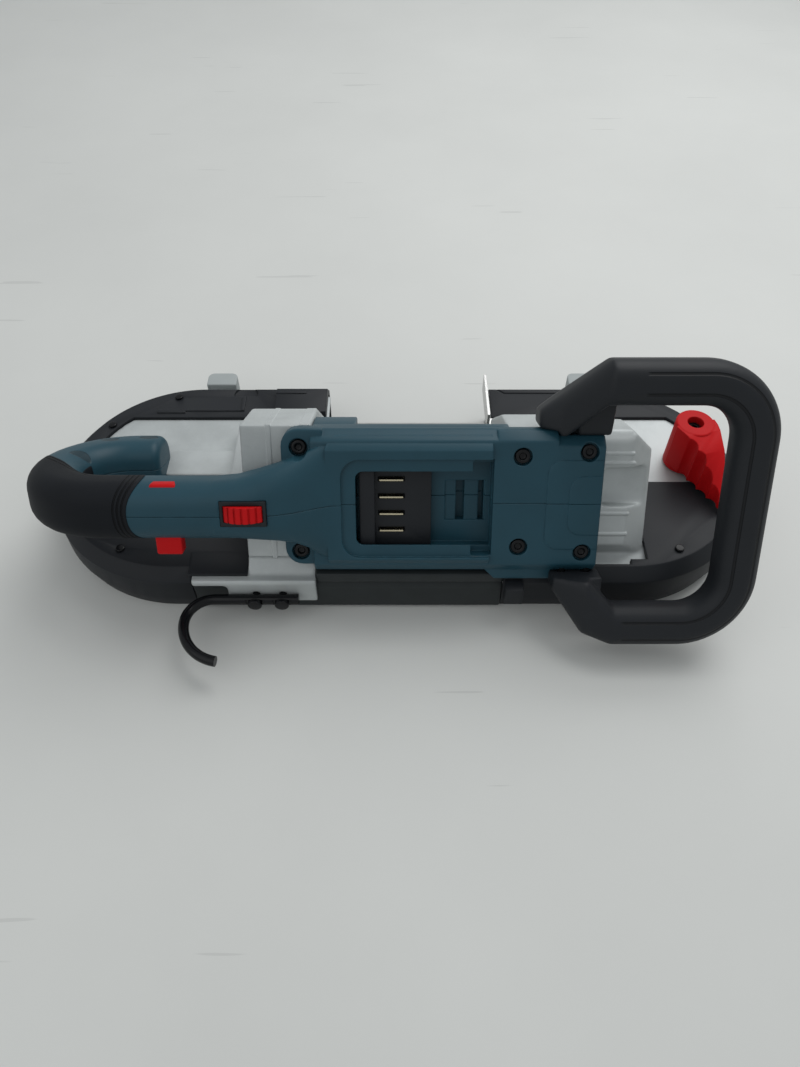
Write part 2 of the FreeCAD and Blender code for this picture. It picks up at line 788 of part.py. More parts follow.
def drive_step():
    near = DRIVE_STEP_NEAR
    outline = [(near, LEDGE_TOP), (near, GEARBOX_FLOOR), (near, DRIVE_STEP_TOP),
               (RISER_FOOT_Y - 6, DRIVE_STEP_TOP), (RISER_FOOT_Y, GEARBOX_FLOOR), (RISER_FOOT_Y, LEDGE_TOP)]
    return prism_x(outline, DRIVE_STEP_LEFT, DRIVE_RISER_LEFT)


def gear_case():
    """The hollow casting over the gears and the motor, standing on the drive frame."""
    riser = drive_riser()
    below = box(-BIG, BIG, -BIG, BIG, 0, GEARBOX_FLOOR)
    right = THROAT_LEFT - RISER_WALL
    cavity = prism_x(inset(drive_outline(), RISER_WALL), DRIVE_RISER_LEFT + RISER_WALL, right)
    step_room = box(DRIVE_STEP_LEFT + RISER_WALL, right, MOTOR_Y - MOTOR_R - 6, RISER_FOOT_Y - 10,
                    0, DRIVE_STEP_TOP - RISER_WALL)
    shell = less(riser.fuse(drive_step()).removeSplitter(), [below, cavity, step_room])
    bosses = []
    for x, s in EAR_SCREWS:
        boss = tilted(disc(SCREW_SHANK_R + BOSS_WALL, x, s, RISER_U - 16, RISER_U - 1))
        bosses.append(boss.cut(below).common(riser))
    return less(joined([shell] + bosses), screw_holes(EAR_SCREWS, EAR_TOP))


def drive_frame():
    base = drive_riser().fuse(drive_step()).common(box(-BIG, BIG, -BIG, BIG, 0, GEARBOX_FLOOR))
    capsule = joined([disc(CAPSULE_R, -WHEEL_X, 0, PLATE_TOP, CAPSULE_TOP),
                      box(-WHEEL_X, DRIVE_STEP_LEFT, -CAPSULE_R, CAPSULE_R, PLATE_TOP, CAPSULE_TOP)])
    flange_edge = -GUARD_NECK_R - 1 - RUN_GAP
    strip = box(STRIP_LEFT, THROAT_LEFT, STRIP_NEAR, flange_edge, LEDGE_BOTTOM, PLATE_TOP)
    near_plate = box(DRIVE_RISER_LEFT, THROAT_LEFT, STRIP_NEAR, DRIVE_PLATE_NEAR, LEDGE_BOTTOM, PLATE_TOP)
    wall_far = STRIP_NEAR + STRIP_WALL
    wall = box(STRIP_WALL_LEFT, THROAT_LEFT, STRIP_NEAR, wall_far, STRIP_WALL_BOTTOM, PLATE_TOP)
    plate = wheel_plate(-GUARD_X, THROAT_LEFT, DRIVE_PLATE_NEAR)
    solid = joined([plate, strip, near_plate, wall, capsule, base])
    gear_top = GEAR_LOW + GEAR_FACE + RUN_GAP
    tip_r = DRIVE_MODULE * DRIVE_TEETH / 2 + DRIVE_MODULE + GEAR_GAP
    pinion_r = DRIVE_MODULE * JACK_PINION_TEETH / 2 + DRIVE_MODULE + GEAR_GAP
    jack_r = JACK_MODULE * JACK_TEETH / 2 + JACK_MODULE + GEAR_GAP
    motor_r = JACK_MODULE * MOTOR_TEETH / 2 + JACK_MODULE + GEAR_GAP
    cuts = [disc(tip_r, -WHEEL_X, 0, 0, gear_top),
            disc(pinion_r, JACK_X, 0, 0, gear_top),
            disc(DRIVE_BEARING_R, -WHEEL_X, 0, 0, LEDGE_TOP + 2 * BEARING_HIGH),
            disc(SMALL_BEARING_R, JACK_X, 0, 0, GEAR_FLOOR),
            disc(jack_r, JACK_X, 0, GEAR_FLOOR, GEARBOX_FLOOR),
            disc(motor_r, MOTOR_X, MOTOR_Y, GEAR_FLOOR, GEARBOX_FLOOR)]
    for x in HOOK_SCREW_X:
        line = (V(x, STRIP_NEAR - 1, HOOK_Z), V(x, STRIP_NEAR + STRIP_WALL, HOOK_Z))
        cuts.append(rod(SCREW_SHANK_R + SCREW_GAP, *line))
    return less(solid, cuts + guard_screw_holes(-1))


def lobe_outline():
    return [(LOBE_FOOT - LEDGE_R, LEDGE_TOP), yz(LOBE_NEAR, LOBE_U), yz(LOBE_FAR, LOBE_U),
            yz(LOBE_FAR, RISER_KNEE_U + 5),
            (RISER_FOOT_Y - 12, RISER_FOOT_TOP), (RISER_FOOT_Y - 12, LEDGE_TOP)]


def lobes():
    outline = lobe_outline()
    small = inset(outline, LOBE_INSET)
    small = [(y, max(z - LOBE_INSET, LEDGE_TOP)) for y, z in small]
    wires = []
    for x, points in ((LOBE_SHOULDER, outline), (LOBE_RIGHT, small)):
        wires.append(Part.makePolygon([V(x, y, z) for y, z in points + points[:1]]))
    nose = Part.makeLoft(wires, True, True)
    recess_left = IDLER_RISER_RIGHT + RECESS_START
    recess = box(recess_left, LOBE_RIGHT + 1, RECESS_NEAR, RECESS_FAR, LOBE_U - RECESS_DEEP, RISER_U)
    block = joined([prism_x(outline, IDLER_RISER_RIGHT, LOBE_SHOULDER), nose])
    return block.cut(tilted(recess))


def idler_frame():
    near_y = -LEDGE_R
    outline = riser_outline(IDLER_RISER_NEAR, IDLER_RISER_FAR, near_y)
    riser = prism_x(outline, THROAT_RIGHT, IDLER_RISER_RIGHT)
    near_plate = box(THROAT_RIGHT, IDLER_RISER_RIGHT, near_y, IDLER_PLATE_NEAR, LEDGE_TOP, PLATE_TOP)
    solid = joined([wheel_plate(GUARD_X, THROAT_RIGHT, IDLER_PLATE_NEAR), near_plate, riser, lobes()])
    wall = RISER_WALL + 1
    cavity_right = CARRIAGE_LEFT - CARRIAGE_TRAVEL - wall
    inside = inset(outline, wall)
    cavity = prism_x(inside, THROAT_RIGHT + wall, cavity_right)
    ys = [y for y, z in inside]
    mouth_far = RISER_FOOT_Y - 2 * wall
    mouth = box(THROAT_RIGHT + wall, cavity_right, min(ys) + wall, mouth_far, 0, PLATE_TOP + wall)
    carriage_right = LEVER_X + CAM_THROW + CAM_R + CAM_PLAY + 6
    pocket_left = CARRIAGE_LEFT - CARRIAGE_TRAVEL - RUN_GAP
    pocket_half = CARRIAGE_HALF + RUN_GAP
    pocket = box(pocket_left, carriage_right + RUN_GAP, -pocket_half, pocket_half, 0, POCKET_TOP)
    boss_r = SCREW_SHANK_R + BOSS_WALL
    bosses = [tilted(disc(boss_r, x, s, RISER_U - 16, RISER_U - 1)) for x, s in PLATE_SCREWS]
    solid = joined([less(solid, [cavity, mouth])] + bosses)
    cuts = [pocket, disc(LEVER_SHAFT_R + SHAFT_GAP, LEVER_X, LEVER_Y, 0, PLATE_TOP + 1)]
    cuts += screw_holes(PLATE_SCREWS, BODY_TOP)
    cuts += guard_screw_holes(1)
    cuts += [rod(SCREW_SHANK_R + SCREW_GAP, a, b) for a, b in foot_bolt_lines()[:2]]
    for a, b in foot_bolt_lines()[2:]:
        out = (a - b).normalize()
        cuts.append(rod(SCREW_HEAD_R + RUN_GAP, a, a + out * (SCREW_HEAD_HIGH + RUN_GAP)))
    return less(solid, cuts)


def frame_spine():
    plate = box(THROAT_LEFT, THROAT_RIGHT, SPINE_NEAR, SPINE_FAR, LEDGE_BOTTOM, PLATE_TOP)
    rib_far = SPINE_NEAR + SPINE_RIB
    rib = box(THROAT_LEFT, THROAT_RIGHT, SPINE_NEAR, rib_far, PLATE_TOP, PLATE_TOP + SPINE_RIB_HIGH)
    return joined([plate, rib])


# Guards
def guard_profile(inner):
    """Wall and sloped shoulder: distance out from the wheel's axis, then height."""
    step = GUARD_WALL * 0.5
    rim = GUARD_R - GUARD_TAPER
    return [(rim - GUARD_WALL, 0), (rim, 0), (GUARD_R, GUARD_TAPER_TOP), (GUARD_R, GUARD_SHOULDER),
            (GUARD_R - GUARD_SLOPE, GUARD_TOP), (inner, GUARD_TOP), (inner, LEDGE_TOP),
            (GUARD_R - GUARD_SLOPE - step, LEDGE_TOP), (GUARD_R - GUARD_WALL, LEDGE_TOP - GUARD_SLOPE + step),
            (GUARD_R - GUARD_WALL, GUARD_TAPER_TOP)]


def guard_round(side):
    face = face_of([V(side * GUARD_X, r, z) for r, z in guard_profile(GUARD_NECK_R)])
    return face.revolve(V(side * GUARD_X, 0, 0), V(0, 0, -side), 180)


def guard_straight(x0, x1, far, inner):
    points = [((r if far else -r), z) for r, z in guard_profile(inner)]
    return prism_x(points, x0, x1)


def guard_island(x, inner_x, plate_near):
    left, right = sorted((x, inner_x))
    gap = RUN_GAP
    island = disc(PLATE_R + gap, x, 0, 0, BIG)
    island = island.common(box(-BIG, BIG, plate_near - gap, PLATE_FAR + gap, 0, BIG))
    return island.fuse(box(left, right, plate_near - gap, PLATE_FAR + gap, 0, BIG))


def foot_slot(x):
    half = FOOT_WIDE / 2 + RUN_GAP
    return box(x - half, x + half, LEDGE_R, BIG, FOOT_PAD_BOTTOM - RUN_GAP, LEDGE_TOP + 2)


def roller_room(x):
    """Space round the far guide roller and its pin."""
    half = ROLLER_HALF + 4 * RUN_GAP + PIN_CAP
    return on_blade(disc(ROLLER_R + RUN_GAP, x, roller_offset(), -half, BRACKET_U1 + RUN_GAP))


def guard_screw_places(side):
    places = []
    for angle in GUARD_SCREW_ANGLES:
        a = math.radians(angle)
        x = GUARD_X - GUARD_SCREW_CIRCLE_R * math.cos(a)
        places.append((side * x, GUARD_SCREW_CIRCLE_R * math.sin(a)))
    return places


def guard_screw_holes(side):
    radius = GUARD_SCREW_R / 2 + SCREW_GAP
    return [disc(radius, x, y, LEDGE_BOTTOM - 1, GUARD_TOP + 1) for x, y in guard_screw_places(side)]


def end_block(x0, x1):
    outline = [(PLATE_FAR + RUN_GAP, LEDGE_TOP), (PLATE_FAR + RUN_GAP, END_BLOCK_TOP),
               (GUARD_R - GUARD_SLOPE - 6, END_BLOCK_TOP), (GUARD_R, GUARD_SHOULDER),
               (GUARD_R - GUARD_WALL, GUARD_SHOULDER), (GUARD_R - GUARD_SLOPE, LEDGE_TOP)]
    return prism_x(outline, x0, x1)


def rear_guard():
    x = -GUARD_X
    flange = disc(GUARD_NECK_R + 1, x, 0, LEDGE_TOP, GUARD_TOP).common(box(-BIG, x, -BIG, BIG, 0, BIG))
    far = box(x, GUARD_REAR_END, PLATE_FAR + RUN_GAP, GUARD_NECK_R + 1, LEDGE_TOP, GUARD_TOP)
    flange_end = DRIVE_RISER_LEFT - RUN_GAP
    near = box(x, flange_end, -GUARD_NECK_R - 1, DRIVE_PLATE_NEAR - RUN_GAP, LEDGE_TOP, GUARD_TOP)
    solid = joined([guard_round(-1), guard_straight(x, GUARD_REAR_END, True, GUARD_NECK_R),
                    guard_straight(x, REAR_NEAR_END, False, GUARD_NECK_R), flange, far, near,
                    end_block(END_BLOCK_LEFT, GUARD_REAR_END)])
    cuts = [guard_island(x, THROAT_LEFT, DRIVE_PLATE_NEAR), foot_slot(FOOT_X[0]), roller_room(REAR_GUIDE_X)]
    return less(solid, cuts + guard_screw_holes(-1))


def front_guard():
    x = GUARD_X
    flange = disc(GUARD_NECK_R + 1, x, 0, LEDGE_TOP, GUARD_TOP).common(box(x, BIG, -BIG, BIG, 0, BIG))
    lobe_zone = box(-BIG, LOBE_RIGHT + 1, -GUARD_NECK_R + 1, IDLER_PLATE_NEAR, 0, BIG)
    far = box(GUARD_FRONT_END, x, PLATE_FAR + RUN_GAP, GUARD_NECK_R + 1, LEDGE_TOP, GUARD_TOP)
    near_inner = LEDGE_R + 1.2
    solid = joined([guard_round(1), guard_straight(GUARD_FRONT_END, x, True, GUARD_NECK_R),
                    flange.cut(lobe_zone), far,
                    guard_straight(THROAT_RIGHT + RUN_GAP, x, False, near_inner)])
    cuts = [guard_island(x, THROAT_RIGHT, IDLER_PLATE_NEAR), foot_slot(FOOT_X[1]), roller_room(FRONT_GUIDE_X)]
    return less(solid, cuts + guard_screw_holes(1))


def spine_cover():
    wall = GUARD_WALL
    outer = -GUARD_R
    lip = COVER_LIP - WHEEL_R
    under = LEDGE_BOTTOM - wall + 0.6
    bend = COVER_ROUND + 2
    outline = [(outer, COVER_BOTTOM), (outer, LEDGE_BOTTOM - COVER_ROUND),
               (outer + COVER_ROUND, LEDGE_BOTTOM), (lip, LEDGE_BOTTOM), (lip, under), (outer + bend, under),
               (outer + wall, LEDGE_BOTTOM - bend), (outer + wall, COVER_BOTTOM)]
    return prism_x(outline, REAR_NEAR_END + RUN_GAP, THROAT_RIGHT)


# Housing
def mid_outline():
    c = BODY_CHAMFER
    return [(BODY_NEAR, THROAT_DEPTH), (BODY_UNDER_S, THROAT_DEPTH), (BODY_FAR, BODY_UNDER_U),
            (BODY_FAR, BODY_TOP - 1.5 * c), (BODY_FAR - c, BODY_TOP), (BODY_NEAR + c, BODY_TOP),
            (BODY_NEAR, BODY_TOP - c)]


def mid_body():
    left = THROAT_LEFT + RUN_GAP
    tab = box(left, TAB_X, BODY_UNDER_S, BODY_FAR, THROAT_DEPTH, BODY_UNDER_U)
    return joined([prism_x(mid_outline(), left, THROAT_RIGHT - RUN_GAP), tab])


def right_plate():
    c = BODY_CHAMFER
    parts = []
    spans = ((BODY_FAR, THROAT_RIGHT - RUN_GAP, BODY_STEP_X), (BODY_STEP_FAR, BODY_STEP_X, BODY_RIGHT))
    for far, x0, x1 in spans:
        outline = [(BODY_NEAR, RISER_U), (far, RISER_U), (far, BODY_TOP - c), (far - c, BODY_TOP),
                   (BODY_NEAR + c, BODY_TOP), (BODY_NEAR, BODY_TOP - c)]
        parts.append(prism_x(outline, x0, x1))
    return joined(parts)


def bay_frame():
    c = BODY_CHAMFER
    rise = BAY_FRAME_TOP - BODY_TOP
    outline = [(BODY_NEAR + c, BODY_TOP), (BODY_FAR - c, BODY_TOP), (BODY_FAR - c - rise, BAY_FRAME_TOP),
               (BODY_NEAR + c + rise, BAY_FRAME_TOP)]
    return prism_x(outline, BAY_FRAME_X0, BAY_FRAME_X1)


def ears():
    far = DRIVE_RISER_FAR
    near = DRIVE_RISER_NEAR
    inner = THROAT_LEFT + RUN_GAP
    cut = EAR_CUT
    outline = [(inner, far), (EAR_LEFT + cut, far), (EAR_LEFT, far - cut), (EAR_LEFT, near + cut),
               (EAR_LEFT + cut, near), (inner, near)]
    return prism_z(outline, RISER_U, EAR_TOP)


def neck(wall):
    """The taper from the bay to the rear handle, or its hollow when a wall is taken off."""
    body_mid = (BODY_NEAR + BODY_FAR) / 2
    body_wide = BODY_FAR - BODY_NEAR - 2 * BODY_CHAMFER - 2 * wall
    low = RISER_U + wall
    rows = [(BAY_FRAME_X0 - wall, body_mid, body_wide, BAY_FRAME_TOP - wall, NECK_START_ROUND),
            (NECK_X, SEAM_S, NECK_WIDTH - 2 * wall, NECK_TOP - wall, NECK_ROUND)]
    wires = []
    for x, s, width, high, radius in rows:
        wires.append(round_section(x, s, (low + high) / 2, width, high - low, radius - wall / 2))
    last = round_section(HANDLE_START, SEAM_S, HANDLE_U, HANDLE_WIDTH - 2 * wall, HANDLE_DEPTH - 2 * wall,
                         HANDLE_ROUND - wall)
    return Part.makeLoft(wires + [leaned(last)], True, True)


def handle_face(x, inset_by):
    wire = round_section(x, SEAM_S, HANDLE_U, HANDLE_WIDTH - 2 * inset_by, HANDLE_DEPTH - 2 * inset_by,
                         HANDLE_ROUND - inset_by)
    return Part.Face(wire)


def handle_bend(inset_by, first, last):
    """Part of the D's round back, between two angles from its upper leg."""
    centre = V(HANDLE_BEND_X, SEAM_S, HANDLE_U - HANDLE_BEND_R)
    face = turned(handle_face(HANDLE_BEND_X, inset_by), centre, V(0, -1, 0), first)
    return face.revolve(centre, V(0, -1, 0), last - first)


def handle_low_leg(inset_by, end_wall):
    face = handle_face(HANDLE_BEND_X, inset_by)
    face.translate(V(0, 0, -2 * HANDLE_BEND_R))
    return face.extrude(V(HANDLE_LOW_END - end_wall - HANDLE_BEND_X, 0, 0))


def handle_high_leg(inset_by, x0, x1):
    return handle_face(x0, inset_by).extrude(V(x1 - x0, 0, 0))


def handle_core():
    recess = GRIP_THICK
    return joined([handle_high_leg(0, GRIP_START, HANDLE_START),
                   handle_high_leg(recess, HANDLE_BEND_X, GRIP_START),
                   handle_bend(recess, 0, GRIP_TURN), handle_bend(0, GRIP_TURN, 180), handle_low_leg(0, 0)])


def handle_hollow():
    thin = SHELL_WALL
    deep = SHELL_WALL + GRIP_THICK
    return joined([handle_high_leg(thin, GRIP_START + deep, HANDLE_START - 0.5),
                   handle_high_leg(deep, HANDLE_BEND_X, GRIP_START + deep), handle_bend(deep, 0, 180),
                   handle_low_leg(deep, SHELL_WALL)])


def handle_grip():
    outer = joined([handle_high_leg(0, HANDLE_BEND_X, GRIP_START), handle_bend(0, 0, GRIP_TURN)])
    core = joined([handle_high_leg(GRIP_THICK, HANDLE_BEND_X, GRIP_START),
                   handle_bend(GRIP_THICK, 0, GRIP_TURN)])
    return tilted(leaned(outer.cut(core)))


def lock_slot(gap):
    return box(LOCK_X0 - gap, LOCK_X1 + gap, -BIG, BIG, LOCK_U0 - gap, LOCK_U0 + LOCK_HIGH + gap)


def trigger_slot():
    half = TRIGGER_WIDTH / 2 + RUN_GAP
    low = HANDLE_U - HANDLE_DEPTH / 2
    high = low + SHELL_WALL + GRIP_THICK + 2
    return box(TRIGGER_X0 - 1, TRIGGER_X1 + 4, SEAM_S - half, SEAM_S + half, low - 1, high)


def bezel_box(grow):
    return box(DIAL_X - BEZEL_HALF_X - grow, DIAL_X + BEZEL_HALF_X + grow, DIAL_S - BEZEL_HALF_S - grow,
               DIAL_S + BEZEL_HALF_S + grow, BEZEL_TOP - BEZEL_DEEP, BEZEL_TOP + 10)


def housing():
    """Both halves of the clamshell as one shell, before the seam parts them."""
    outer = joined([mid_body(), right_plate(), bay_frame(), ears(), neck(0), leaned(handle_core())])
    bay = box(BAY_X0, BAY_X1, BAY_S0, BAY_S1, BAY_FLOOR, BIG)
    rail_far = box(BAY_X0, BAY_X1, BAY_S1 - BAY_RAIL, BAY_S1, BODY_TOP, BAY_FRAME_TOP)
    rail_near = box(BAY_X0, BAY_X1, BAY_S0, BAY_S0 + BAY_RAIL, BODY_TOP, BAY_FRAME_TOP)
    wall = SHELL_WALL
    hollow = prism_x(inset(mid_outline(), wall), THROAT_LEFT + 4 * wall, THROAT_RIGHT - RUN_GAP - wall)
    hollow = hollow.common(box(-BIG, BIG, -BIG, BIG, 0, BAY_FLOOR - wall))
    floor = box(-BIG, BIG, -BIG, BIG, -BIG, PLATE_TOP)
    rib_top = PLATE_TOP + SPINE_RIB_HIGH
    spine_rib = box(-BIG, BIG, -BIG, SPINE_NEAR + SPINE_RIB + RUN_GAP, -BIG, rib_top + RUN_GAP)
    thick_floor = box(-BIG, BIG, -BIG, BIG, -BIG, rib_top + wall)
    inside = [tilted(hollow).cut(thick_floor), tilted(neck(wall)),
              tilted(leaned(handle_hollow())).cut(thick_floor)]
    openings = [less(bay, [rail_far, rail_near]), bezel_box(0), dial_well()]
    handle_openings = [lock_slot(RUN_GAP), trigger_slot(), pivot_rod(SHAFT_GAP)]
    hole_r = SCREW_SHANK_R + 2 * SCREW_GAP
    screws = [disc(hole_r, x, s, 0, BIG) for x, s in PLATE_SCREWS + EAR_SCREWS]
    sinks = [disc(SCREW_HEAD_R + 1, x, s, BODY_TOP - SCREW_SINK, BIG) for x, s in PLATE_SCREWS]
    sinks += [disc(SCREW_HEAD_R + 1, x, s, EAR_TOP - SCREW_SINK, BIG) for x, s in EAR_SCREWS]
    cuts = [floor, spine_rib] + inside
    cuts.append(disc(CAPSULE_R + RUN_GAP, -WHEEL_X, 0, 0, CAPSULE_TOP + RUN_GAP))
    cuts.append(box(-WHEEL_X, 0, -CAPSULE_R - RUN_GAP, CAPSULE_R + RUN_GAP, 0, CAPSULE_TOP + RUN_GAP))
    cuts += [rod(SCREW_SHANK_R + SCREW_GAP, a, b) for a, b in foot_bolt_lines()[2:]]
    cuts += [tilted(tool) for tool in openings + screws + sinks]
    cuts += [tilted(leaned(tool)) for tool in handle_openings]
    return less(tilted(outer), cuts)


def seam_side(far):
    side = box(-BIG, BIG, SEAM_S, BIG, -BIG, BIG) if far else box(-BIG, BIG, -BIG, SEAM_S, -BIG, BIG)
    return tilted(leaned(side))


# Electrics
def terminal_block():
    gap = RUN_GAP
    top = BAY_FLOOR + TERMINAL_HIGH
    base = box(BAY_X0 + gap, TERMINAL_RIGHT, BAY_S0 + gap, BAY_S1 - gap, BAY_FLOOR, top)
    step = box(BAY_X0 + gap, TERMINAL_STEP_X, BAY_S0 + gap, BAY_S1 - gap, top, top + TERMINAL_STEP)
    half = BLADE_PLATE / 2 + BLADE_ROOM
    slots = []
    for s in terminal_places():
        slots.append(box(BLADE_X0 - BLADE_ROOM, BLADE_X1 + BLADE_ROOM, s - half, s + half,
                         BAY_FLOOR + TERMINAL_FLOOR, BIG))
    return tilted(less(joined([base, step]), slots))


def terminal_places():
    return [BAY_S0 + TERMINAL_EDGE + TERMINAL_PITCH * n for n in range(TERMINAL_COUNT)]


def terminal_blades():
    blades = []
    half = BLADE_PLATE / 2
    low = BAY_FLOOR + TERMINAL_FLOOR
    for s in terminal_places():
        blades.append(tilted(box(BLADE_X0, BLADE_X1, s - half, s + half, low, low + BLADE_STAND)))
    return Part.makeCompound(blades)


def controller_board():
    floor = THROAT_DEPTH + SHELL_WALL
    low = floor + BOARD_STAND
    top = low + BOARD_THICK
    board = box(BOARD_X0, BOARD_X1, BOARD_S0, BOARD_S1, low, top)
    posts = []
    for x in (BOARD_X0 + BOARD_INSET, BOARD_X1 - BOARD_INSET):
        for s in (BOARD_S0 + BOARD_INSET, BOARD_S1 - BOARD_INSET):
            posts.append(disc(BOARD_POST_R, x, s, floor, low))
    chips = []
    for n in range(CHIP_COUNT):
        x = BOARD_X0 + CHIP_EDGE + CHIP_PITCH * n
        s = BOARD_S0 + CAN_EDGE
        chips.append(box(x, x + CHIP_LONG, s, s + CHIP_WIDE, top, top + CHIP_HIGH))
    cans = []
    for n in range(CAN_COUNT):
        x = BOARD_X0 + CAN_PITCH * (n + 1)
        cans.append(disc(CAN_R, x, BOARD_S1 - CAN_EDGE, top, top + CAN_HIGH))
    return tilted(joined([board] + posts + chips + cans))


def switch_module():
    low = HANDLE_U - HANDLE_DEPTH / 2 + SHELL_WALL
    case = box(TRIGGER_X1 + 5, TRIGGER_X1 + 24, SEAM_S - 5, SEAM_S + 5, low + SEAT_GAP, low + 17)
    plunger = box(TRIGGER_X1 + 1, TRIGGER_X1 + 5, SEAM_S - 3, SEAM_S + 3, low + 5, low + 9)
    return tilted(leaned(joined([case, plunger])))


# Controls
def trigger_pivot():
    return TRIGGER_X1 - 3, HANDLE_U - HANDLE_DEPTH / 2 + SHELL_WALL + 4


def trigger():
    px, pu = trigger_pivot()
    low = HANDLE_U - HANDLE_DEPTH / 2
    tip = low - TRIGGER_REACH
    outline = [(TRIGGER_X0, low + 1), (TRIGGER_X0 + 4, tip + 3), (TRIGGER_X0 + 14, tip),
               (TRIGGER_X1 - 8, tip + 6), (TRIGGER_X1, low), (TRIGGER_X1, pu + 3), (px - 4, pu + 4),
               (TRIGGER_X0, low + 5)]
    half = TRIGGER_WIDTH / 2
    body = prism_y(outline, SEAM_S - half, SEAM_S + half)
    return tilted(leaned(joined([body, pivot_rod(0)])))


def pivot_rod(gap):
    """The trigger's two trunnions in one rod, or the sockets for them when a gap is added."""
    px, pu = trigger_pivot()
    reach = HANDLE_WIDTH / 2 - SHELL_WALL - 1 + 4 * gap
    return rod(TRIGGER_PIN_R + gap, V(px, SEAM_S - reach, pu), V(px, SEAM_S + reach, pu))


def lock_off_button():
    body = box(LOCK_X0, LOCK_X1, LOCK_NEAR, LOCK_FAR, LOCK_U0, LOCK_U0 + LOCK_HIGH)
    upright = [edge for edge in body.Edges if abs(edge.Vertexes[0].Y - edge.Vertexes[1].Y) < 1e-6]
    return tilted(leaned(body.makeChamfer(LOCK_CHAMFER, upright)))


def dial_height():
    return BEZEL_TOP + DIAL_STAND - DIAL_R


def speed_dial():
    u = dial_height()
    half = DIAL_WIDTH / 2
    drum = rod(DIAL_R, V(DIAL_X, DIAL_S - half, u), V(DIAL_X, DIAL_S + half, u))
    cuts = []
    for n in range(DIAL_RIBS):
        groove = box(DIAL_X - GROOVE_HALF, DIAL_X + GROOVE_HALF, DIAL_S - half, DIAL_S + half,
                     u + DIAL_R - GROOVE_DEEP, u + DIAL_R + 1)
        cuts.append(turned(groove, V(DIAL_X, DIAL_S, u), V(0, 1, 0), 360.0 * n / DIAL_RIBS))
    reach = half + DIAL_STUB
    stub = rod(DIAL_STUB_R, V(DIAL_X, DIAL_S - reach, u), V(DIAL_X, DIAL_S + reach, u))
    return tilted(joined([less(drum, cuts), stub]))


def dial_well():
    u = dial_height()
    half = DIAL_WIDTH / 2 + RUN_GAP
    return rod(DIAL_R + RUN_GAP, V(DIAL_X, DIAL_S - half, u), V(DIAL_X, DIAL_S + half, u))


def dial_bezel():
    u = dial_height()
    half_x = BEZEL_HALF_X - SEAT_GAP
    half_s = BEZEL_HALF_S - SEAT_GAP
    low = BEZEL_TOP - BEZEL_DEEP
    body = box(DIAL_X - half_x, DIAL_X + half_x, DIAL_S - half_s, DIAL_S + half_s, low, BEZEL_TOP)
    hole = rod(DIAL_STUB_R + SHAFT_GAP, V(DIAL_X, DIAL_S - BIG, u), V(DIAL_X, DIAL_S + BIG, u))
    return tilted(less(body, [dial_well(), hole]))


# Front handle
def loop_section(centre, direction):
    """Rounded rectangle standing across a direction that lies level."""
    face = Part.Face(round_section(0, 0, 0, LOOP_WIDTH, LOOP_HIGH, LOOP_ROUND))
    angle = math.degrees(math.atan2(direction.y, direction.x))
    face.rotate(V(0, 0, 0), V(0, 0, 1), angle)
    face.translate(centre)
    return face


def loop_arm(start, end):
    return loop_section(start, end - start).extrude(end - start)


def loop_corner(centre, start_angle):
    a = math.radians(start_angle)
    start = centre + V(LOOP_BEND_R * math.cos(a), LOOP_BEND_R * math.sin(a), 0)
    direction = V(math.sin(a), -math.cos(a), 0)
    return loop_section(start, direction).revolve(centre, V(0, 0, -1), 90)


def loop_tube():
    r = LOOP_BEND_R
    x = LOOP_RIGHT
    far_bend = V(x - r, LOOP_FAR - r, LOOP_U)
    near_bend = V(x - r, LOOP_NEAR + r, LOOP_U)
    return joined([loop_arm(V(LOOP_FAR_X, LOOP_FAR, LOOP_U), V(x - r, LOOP_FAR, LOOP_U)),
                   loop_corner(far_bend, 90),
                   loop_arm(V(x, LOOP_FAR - r, LOOP_U), V(x, LOOP_NEAR + r, LOOP_U)),
                   loop_corner(near_bend, 0),
                   loop_arm(V(x - r, LOOP_NEAR, LOOP_U), V(LOOP_NEAR_X, LOOP_NEAR, LOOP_U))])


def foot_loft(rows):
    """A tapered foot through rounded rectangles, each given by x and its s and u spans."""
    wires = []
    for x, s0, s1, u0, u1 in rows:
        radius = min(LOOP_ROUND, (s1 - s0) / 2 - 1, (u1 - u0) / 2 - 1)
        wires.append(round_section(x, (s0 + s1) / 2, (u0 + u1) / 2, s1 - s0, u1 - u0, radius))
    return Part.makeLoft(wires, True, True)


